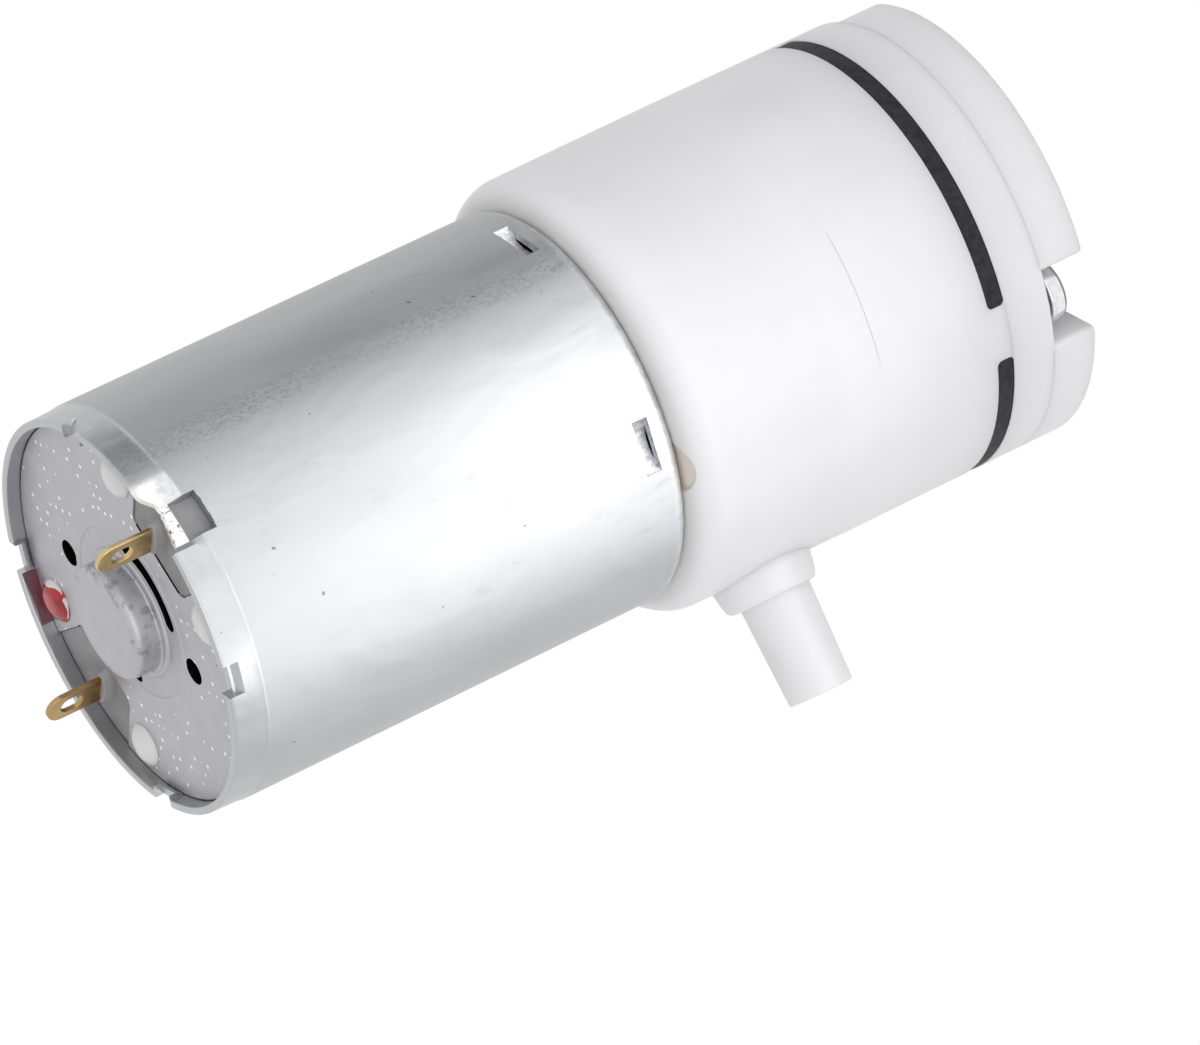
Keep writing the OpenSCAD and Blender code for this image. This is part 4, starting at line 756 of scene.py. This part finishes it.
bend = np.radians(np.linspace(0, 90, 25))
shoulder = np.stack((HEAD_R - CASE_DRAFT - SHOULDER_R + SHOULDER_R * np.cos(bend),
                     CASE_Z1 - SHOULDER_R + SHOULDER_R * np.sin(bend)), -1)
profile = np.concatenate((
    rounded([(CASE_IN, CASE_Z0, 0), (HEAD_R, CASE_Z0, 0.01), (HEAD_R - 0.02, CASE_Z0 + 2, 0)]),
    shoulder, [(11.2, CASE_Z1), (10.2, CASE_Z1), (CASE_BORE, CASE_Z1), (CASE_BORE, CASE_FLOOR),
               (CASE_IN, CASE_FLOOR), (CASE_IN, CASE_Z0)]))
turn = np.unique(np.round(np.concatenate((np.arange(0, 360, 2), np.arange(46, 72, 0.4))), 4))
case = polar(profile[:, :1], turn, profile[:, 1:])
to_recess = np.hypot(case[..., 0] - recess_x, case[..., 1] - recess_y)
sunk = ease((RECESS_R - to_recess) / 0.1) * (case[..., 2] > CASE_FLOOR + 0.5)
case[..., 2] -= sunk * RECESS_DEEP
parts = [(case.reshape(-1, 3), lattice(len(profile), len(turn), True))]
column = np.array([(0.0, CASE_Z0 + 0.02), (COLUMN_R, CASE_Z0 + 0.02),
                   (COLUMN_R, CASE_FLOOR + 0.4), (0.0, CASE_FLOOR + 0.4)])
for screw in (0, 120, 240):
    parts += placed([revolved(column, 36)], shift=polar(SCREW_R - 0.5, SCREW_TURN + screw))
# Both profiles give a radius about the nozzle's axis and a place along it.
collar = rounded([(1.5, 11.6, 0), (3.95, 12.3, 0), (3.36, 12.95, 0.4), (3.08, 13.6, 0.33),
                  (2.99, 14.3, 0.35), (2.76, 15.12, 0.36), (1.9, 15.1, 0)], 6)
tube = rounded([(1.3, 12.6, 0), (2.24, 12.8, 0), (1.99, NOZZLE_END, 0.12),
                (1.3, NOZZLE_END, 0.08), (1.3, 12.6, 0)], 6)
for profile, lift in ((collar, COLLAR_LIFT), (tube, 0.0)):
    points, faces = revolved(profile, 72)
    points = points[:, [2, 1, 0]] * (1, 1, -1) + (0, 0, NOZZLE_Z + lift)
    parts.append((points, faces))
build("crankcase_cup", parts, white.material, "crankcase")


# The end cover: a flat white disc with three notches for the screw heads and three
# small exhaust holes over the outlet valve's pocket.
COVER_T, COVER_EDGE = 3.0, 0.25
NOTCH_W, NOTCH_IN, NOTCH_CORNER, NOTCH_MOUTH = 4.77, 8.9, 1.0, 0.35
EXHAUST_R, EXHAUST_D = 2.3, 1.2
half_w = NOTCH_W / 2
mouth_x = math.sqrt((HEAD_R - NOTCH_MOUTH) ** 2 - (half_w + NOTCH_MOUTH) ** 2)
lean = math.degrees(math.atan2(half_w + NOTCH_MOUTH, mouth_x))
corner_x = NOTCH_IN + NOTCH_CORNER
straight = np.stack((np.linspace(corner_x + 0.4, mouth_x, 6), np.full(6, half_w)), -1)
upper = np.concatenate((arc((corner_x, half_w - NOTCH_CORNER), NOTCH_CORNER, 180, 90, 9),
                        straight[:-1],
                        arc((mouth_x, half_w + NOTCH_MOUTH), NOTCH_MOUTH, 270, 360 + lean, 9)))
notch = np.concatenate((upper[::-1] * (1, -1), upper))
cover_line, holes = [], []
for screw in (0, 120, 240):
    cover_line.append(turned(notch, screw))
    cover_line.append(arc((0, 0), HEAD_R, screw + lean, screw + 120 - lean, 61)[1:-1])
    holes.append(round_hole(polar(EXHAUST_R, screw), EXHAUST_D / 2, 24))
parts = plate([np.concatenate(cover_line)] + holes, 0.0, COVER_T, COVER_EDGE, 0.01)
build("end_cover_disc", placed(parts, SCREW_TURN), white.material, "end_cover")


# Small roundings where the seat's lugs meet the rings above and below the rubber, so
# that the black band ends in round corners.
LUG_HALF, BAND_Z0, BAND_Z1, FILLET_R, FILLET_DEEP = 1.7, 5.85, 7.0, 0.36, 0.3
quarter = np.radians(np.linspace(180, 270, 9))
fan = np.stack((FILLET_R + FILLET_R * np.cos(quarter), FILLET_R + FILLET_R * np.sin(quarter)), -1)
fan = np.concatenate(([[0.0, 0.0]], fan))
fan_faces = np.stack((np.zeros(8, int), np.arange(1, 9), np.arange(2, 10)), -1)
ring_faces = lattice(2, 10, True)
parts = []
for screw in (0, 120, 240):
    for side in (-1, 1):
        for level, up in ((BAND_Z0, 1), (BAND_Z1, -1)):
            along = np.degrees((LUG_HALF + fan[:, 0]) * side / HEAD_R) + SCREW_TURN + screw
            rows = [polar(r, along, level + up * fan[:, 1]) for r in (HEAD_R, HEAD_R - FILLET_DEEP)]
            way = side * up
            parts.append((rows[0], fan_faces[:, ::way]))
            parts.append((np.concatenate(rows), ring_faces[:, ::-way]))
build("lug_fillets", parts, white.material)


# The three head screws: nickel plated pan heads with a cross recess and a thin
# flange, driven from the cover's notches through to the crankcase.
SCREW_HEAD_R, SCREW_TOP, SCREW_SEAT, SCREW_TIP = 1.9, 1.4, 3.0, 23.0
NECK_R, SHANK_R, CROWN_R = 1.7, 1.0, 1.45
CROSS_W, CROSS_R, CROSS_DEEP = 0.72, 1.2, 0.75
nickel = Nodes("screw_nickel", (0.80, 0.80, 0.81), 0.14, 1.0)
x, y, z = nickel.axes()
brush = nickel.noise(1800, 5, 0.6)
# The neck's groove gets a painted shade and the head's top edge a painted shadow line.
painted_groove_shade = nickel.span(nickel.off(z, SCREW_SEAT - 0.38), 0.10, 0.05)
painted_lip_shadow = nickel.times(nickel.span(nickel.off(z, SCREW_TOP + 0.12), 0.14, 0.08), 0.8)
plain = nickel.blend(nickel.span(brush, 0.35, 0.7), (0.90, 0.90, 0.91), (0.74, 0.74, 0.76))
nickel.colour(plain, (nickel.math("MAXIMUM", painted_groove_shade, painted_lip_shadow), (0.03, 0.03, 0.035)))
nickel.roughness(nickel.span(brush, 0.3, 0.7, 0.10, 0.2))
head_line = rounded([(0.0, SCREW_TOP, 0), (SCREW_HEAD_R - 0.05, SCREW_TOP, 0.3),
                     (SCREW_HEAD_R, SCREW_SEAT - 0.5, 0.06), (NECK_R, SCREW_SEAT - 0.45, 0.03),
                     (NECK_R, SCREW_SEAT - 0.3, 0.03), (SCREW_HEAD_R, SCREW_SEAT - 0.27, 0.03),
                     (SCREW_HEAD_R, SCREW_SEAT, 0.04), (SHANK_R, SCREW_SEAT, 0)])
crown = np.stack((np.linspace(0, CROWN_R, 30), np.full(30, SCREW_TOP)), -1)
head_line = np.concatenate((crown, head_line[head_line[:, 0] > CROWN_R + 0.01],
                            [(SHANK_R, SCREW_SEAT), (SHANK_R, SCREW_TIP - 0.5),
                             (0.6, SCREW_TIP), (0, SCREW_TIP)]))
turn = np.arange(0, 360, 3.0)
screw = polar(head_line[:, :1], turn, head_line[:, 1:])
arm = np.minimum(np.abs(screw[..., 0]), np.abs(screw[..., 1]))
reach = np.hypot(screw[..., 0], screw[..., 1])
cross = ease((CROSS_W / 2 - arm) / 0.08) * ease((CROSS_R - reach) / 0.12)
screw[..., 2] += cross * (screw[..., 2] < SCREW_TOP + 0.01) * (CROSS_DEEP - 0.35 * reach)
faces = lattice(len(head_line), len(turn), True)[:, ::-1]
parts = [(screw.reshape(-1, 3) + polar(SCREW_R, SCREW_TURN + at), faces)
         for at in (0, 120, 240)]
build("head_screw_set", parts, nickel.material, "head_screws")


# Everything inside the head and the motor keeps its solid from the frame: moulded
# nylon, sintered bushes, ferrite magnets, laminations and copper coils, each with
# the finish of the real material, worked out in its own coordinates.
def finish(name, colour, roughness, metallic=0.0, grain=0.15, scale=900, relief=0.15,
           stretch=(1, 1, 1)):
    """A material whose colour, roughness and relief vary with a noise on the object's
    own coordinates, stretched along the axes by the factors given."""
    own = Nodes(name, colour, roughness, metallic)
    noise = own.noise(scale, 5, 0.6, own.moved(scale=stretch))
    low = tuple(c * (1 - grain) for c in colour)
    high = tuple(min(1.0, c * (1 + grain)) for c in colour)
    own.colour(own.blend(own.span(noise, 0.3, 0.7), low, high))
    own.roughness(own.span(noise, 0.3, 0.7, roughness * 0.85, roughness * 1.15))
    own.bump(noise, relief, 0.02)
    return own.material


def dress(material, *names):
    """Give the frame's pieces of these names the one material."""
    for name in names:
        nodes[name].data.materials.clear()
        nodes[name].data.materials.append(material)


rubber = Nodes("black_rubber", (0.040, 0.040, 0.044), 0.62, Specular_IOR_Level=0.22)
x, y, z = rubber.axes()
bloom = rubber.noise(2200, 5, 0.65)
dust = rubber.span(rubber.noise(700, 3), 0.35, 0.7)
# At the band's edges, where it meets the rings, a painted shade.
edge = rubber.off(z, (BAND_Z0 + BAND_Z1) / 2)
tone = rubber.blend(rubber.span(bloom, 0.35, 0.65), (0.012, 0.012, 0.014), (0.028, 0.028, 0.031))
rubber.colour(tone, (rubber.times(dust, 0.2), (0.06, 0.06, 0.064)),
              (rubber.span(edge, 0.47, 0.56), (0.003, 0.003, 0.003)))
rubber.bump(bloom, 0.5, 0.03)
dress(rubber.material, "diaphragm", "inlet_valve_1", "inlet_valve_2", "inlet_valve_3",
      "outlet_valve")
dress(white.material, "valve_plate", "diaphragm_seat")
dress(nickel.material, "motor_screws")
dress(finish("shaft_steel", (0.6, 0.6, 0.62), 0.2, 1.0, grain=0.06, scale=700,
             stretch=(1, 1, 8)), "crank_pin", "rotor_shaft", "magnet_clips")
dress(finish("natural_nylon", (0.72, 0.70, 0.64), 0.45, grain=0.05, scale=400),
      "swing_bracket", "eccentric_wheel", "shaft_spacers")
dress(finish("sintered_bronze", (0.45, 0.32, 0.17), 0.55, 0.8, grain=0.3, scale=3500,
             relief=0.5), "front_bearing", "rear_bearing")
dress(finish("ferrite", (0.045, 0.045, 0.048), 0.6, grain=0.3, scale=2500, relief=0.4),
      "magnet_left", "magnet_right")
dress(finish("lamination_steel", (0.34, 0.34, 0.36), 0.4, 1.0, grain=0.35, scale=400,
             relief=0.5, stretch=(0.02, 0.02, 6)), "rotor_core")
dress(finish("winding_copper", (0.60, 0.27, 0.12), 0.35, 0.9, grain=0.35, scale=500,
             relief=0.8, stretch=(1, 1, 8)), "winding_1", "winding_2", "winding_3")
dress(finish("bar_copper", (0.66, 0.34, 0.18), 0.3, 1.0, grain=0.1, stretch=(1, 1, 0.1)),
      "commutator_bars")
dress(finish("spring_copper", (0.66, 0.36, 0.2), 0.3, 1.0, grain=0.1),
      "brush_arm_pos", "brush_arm_neg")
dress(finish("commutator_resin", (0.12, 0.05, 0.03), 0.5, grain=0.25), "commutator_hub")
dress(finish("carbon", (0.03, 0.03, 0.032), 0.5, grain=0.3, scale=2500),
      "carbon_brush_pos", "carbon_brush_neg")


# The photo's studio: white paper without a horizon or a shadow, a large soft lamp beside
# the camera, a weak one on the table, and strips and a grey card there that only the
# metal reflects.
FLOOR_SIZE, FLOOR_LOW, FLOOR_COLOUR = 12.0, -0.0001, 0.88
WORLD_LIGHT = 0.72


def split_white(tree, true, seen, output):
    """Wire a node tree so that rays from the camera, a mirror or glass meet the shader
    seen, and all the others the shader true."""
    path = tree.nodes.new("ShaderNodeLightPath")
    share = path.outputs["Is Camera Ray"]
    for kind in ("Is Glossy Ray", "Is Transmission Ray"):
        most = tree.nodes.new("ShaderNodeMath")
        most.operation = "MAXIMUM"
        tree.links.new(share, most.inputs[0])
        tree.links.new(path.outputs[kind], most.inputs[1])
        share = most.outputs[0]
    mix = tree.nodes.new("ShaderNodeMixShader")
    for socket, value in zip(mix.inputs, (share, true.outputs[0], seen.outputs[0])):
        tree.links.new(value, socket)
    tree.links.new(mix.outputs[0], tree.nodes.new(output).inputs[0])


scene = bpy.context.scene
scene.view_settings.view_transform = "Standard"
world = bpy.data.worlds.new("studio")
scene.world = world
world.use_nodes = True
tree = world.node_tree
tree.nodes.clear()
lights = []
for strength in (WORLD_LIGHT, 1.0):
    light = tree.nodes.new("ShaderNodeBackground")
    light.inputs["Color"].default_value = (1, 1, 1, 1)
    light.inputs["Strength"].default_value = strength
    lights.append(light)
split_white(tree, *lights, "ShaderNodeOutputWorld")


def sheet(name, points, faces, material):
    """A flat piece that is laid out for the photo only."""
    mesh = bpy.data.meshes.new(name)
    mesh.from_pydata(points, [], faces)
    mesh.materials.append(material)
    piece = bpy.data.objects.new(name, mesh)
    scene.collection.objects.link(piece)
    return piece


half = FLOOR_SIZE / 2
paper = bpy.data.materials.new("white_paper")
paper.use_nodes = True
tree = paper.node_tree
tree.nodes.clear()
diffuse = tree.nodes.new("ShaderNodeBsdfDiffuse")
diffuse.inputs["Color"].default_value = (FLOOR_COLOUR, FLOOR_COLOUR, FLOOR_COLOUR, 1)
split_white(tree, diffuse, tree.nodes.new("ShaderNodeEmission"), "ShaderNodeOutputMaterial")
corners = [(-half, -half, FLOOR_LOW), (half, -half, FLOOR_LOW), (half, half, FLOOR_LOW),
           (-half, half, FLOOR_LOW)]
floor = sheet("floor", corners, [(0, 1, 2, 3)], paper)


def area_lamp(name, place, way, width, height, radiance):
    """A rectangular lamp at a place, shining along a way; its power is its radiance
    times pi times its area."""
    light = bpy.data.lights.new(name, "AREA")
    light.shape = "RECTANGLE"
    light.size, light.size_y = width, height
    light.energy = radiance * math.pi * width * height
    lamp = bpy.data.objects.new(name, light)
    turn = Vector(way).to_track_quat("-Z", "Y").to_matrix().to_4x4()
    lamp.matrix_world = Matrix.Translation(place) @ turn
    lamp.visible_camera = False
    scene.collection.objects.link(lamp)
    return lamp


def around(azimuth, distance, height):
    """A place at a distance from the pump's axis, in the direction of an azimuth."""
    turn = math.radians(azimuth)
    return Vector((distance * math.cos(turn), distance * math.sin(turn), height))


def table_panel(name, azimuth, near, far, width, radiance):
    """A glowing strip on the table beside the pump, which only polished metal shows."""
    panel = area_lamp(name, around(azimuth, (near + far) / 2, 0.001), (0, 0, 1), width,
                      far - near, radiance)
    panel.rotation_euler.z += math.radians(azimuth - 90)
    panel.visible_diffuse = False


KEY = around(73, 0.95, 0.24)
area_lamp("key", KEY, Vector((0, 0, 0.03)) - KEY, width=1.2, height=0.5, radiance=1.65)
bounce = area_lamp("table_bounce", around(75, 0.24, 0.001), (0, 0, 1), width=0.4, height=0.4,
                   radiance=0.28)
bounce.visible_glossy = False
table_panel("bright_strip", azimuth=63, near=0.035, far=0.26, width=0.16, radiance=2.3)
table_panel("side_strip", azimuth=118, near=0.05, far=0.22, width=0.09, radiance=0.75)

card_rows = np.stack([polar(r, np.linspace(157, 188, 13), 0.0006) for r in (0.03, 0.30)])
card = sheet("grey_card", card_rows.reshape(-1, 3).tolist(), lattice(2, 13).tolist(),
             Nodes("grey_card", (0.3, 0.3, 0.3), 0.9).material)
card.visible_camera = card.visible_diffuse = card.visible_shadow = False

# Camera fitted to the photo's edges, in the pump's own frame.
CAMERA_PLACE = Vector((2.194, 502.402, 254.212)) * MM
RIGHT = Vector((0.431527, 0.372364, -0.821663))
UP = Vector((-0.902059, 0.169445, -0.396961))
BACK = Vector((-0.008588, 0.912487, 0.409014))
camera = bpy.data.objects.new("camera", bpy.data.cameras.new("camera"))
camera.data.lens = 288.57
camera.data.sensor_width = 36
camera.data.clip_end = 100
camera.matrix_world = (Matrix.Translation(CAMERA_PLACE)
                       @ Matrix((RIGHT, UP, BACK)).transposed().to_4x4())
scene.collection.objects.link(camera)
scene.camera = camera
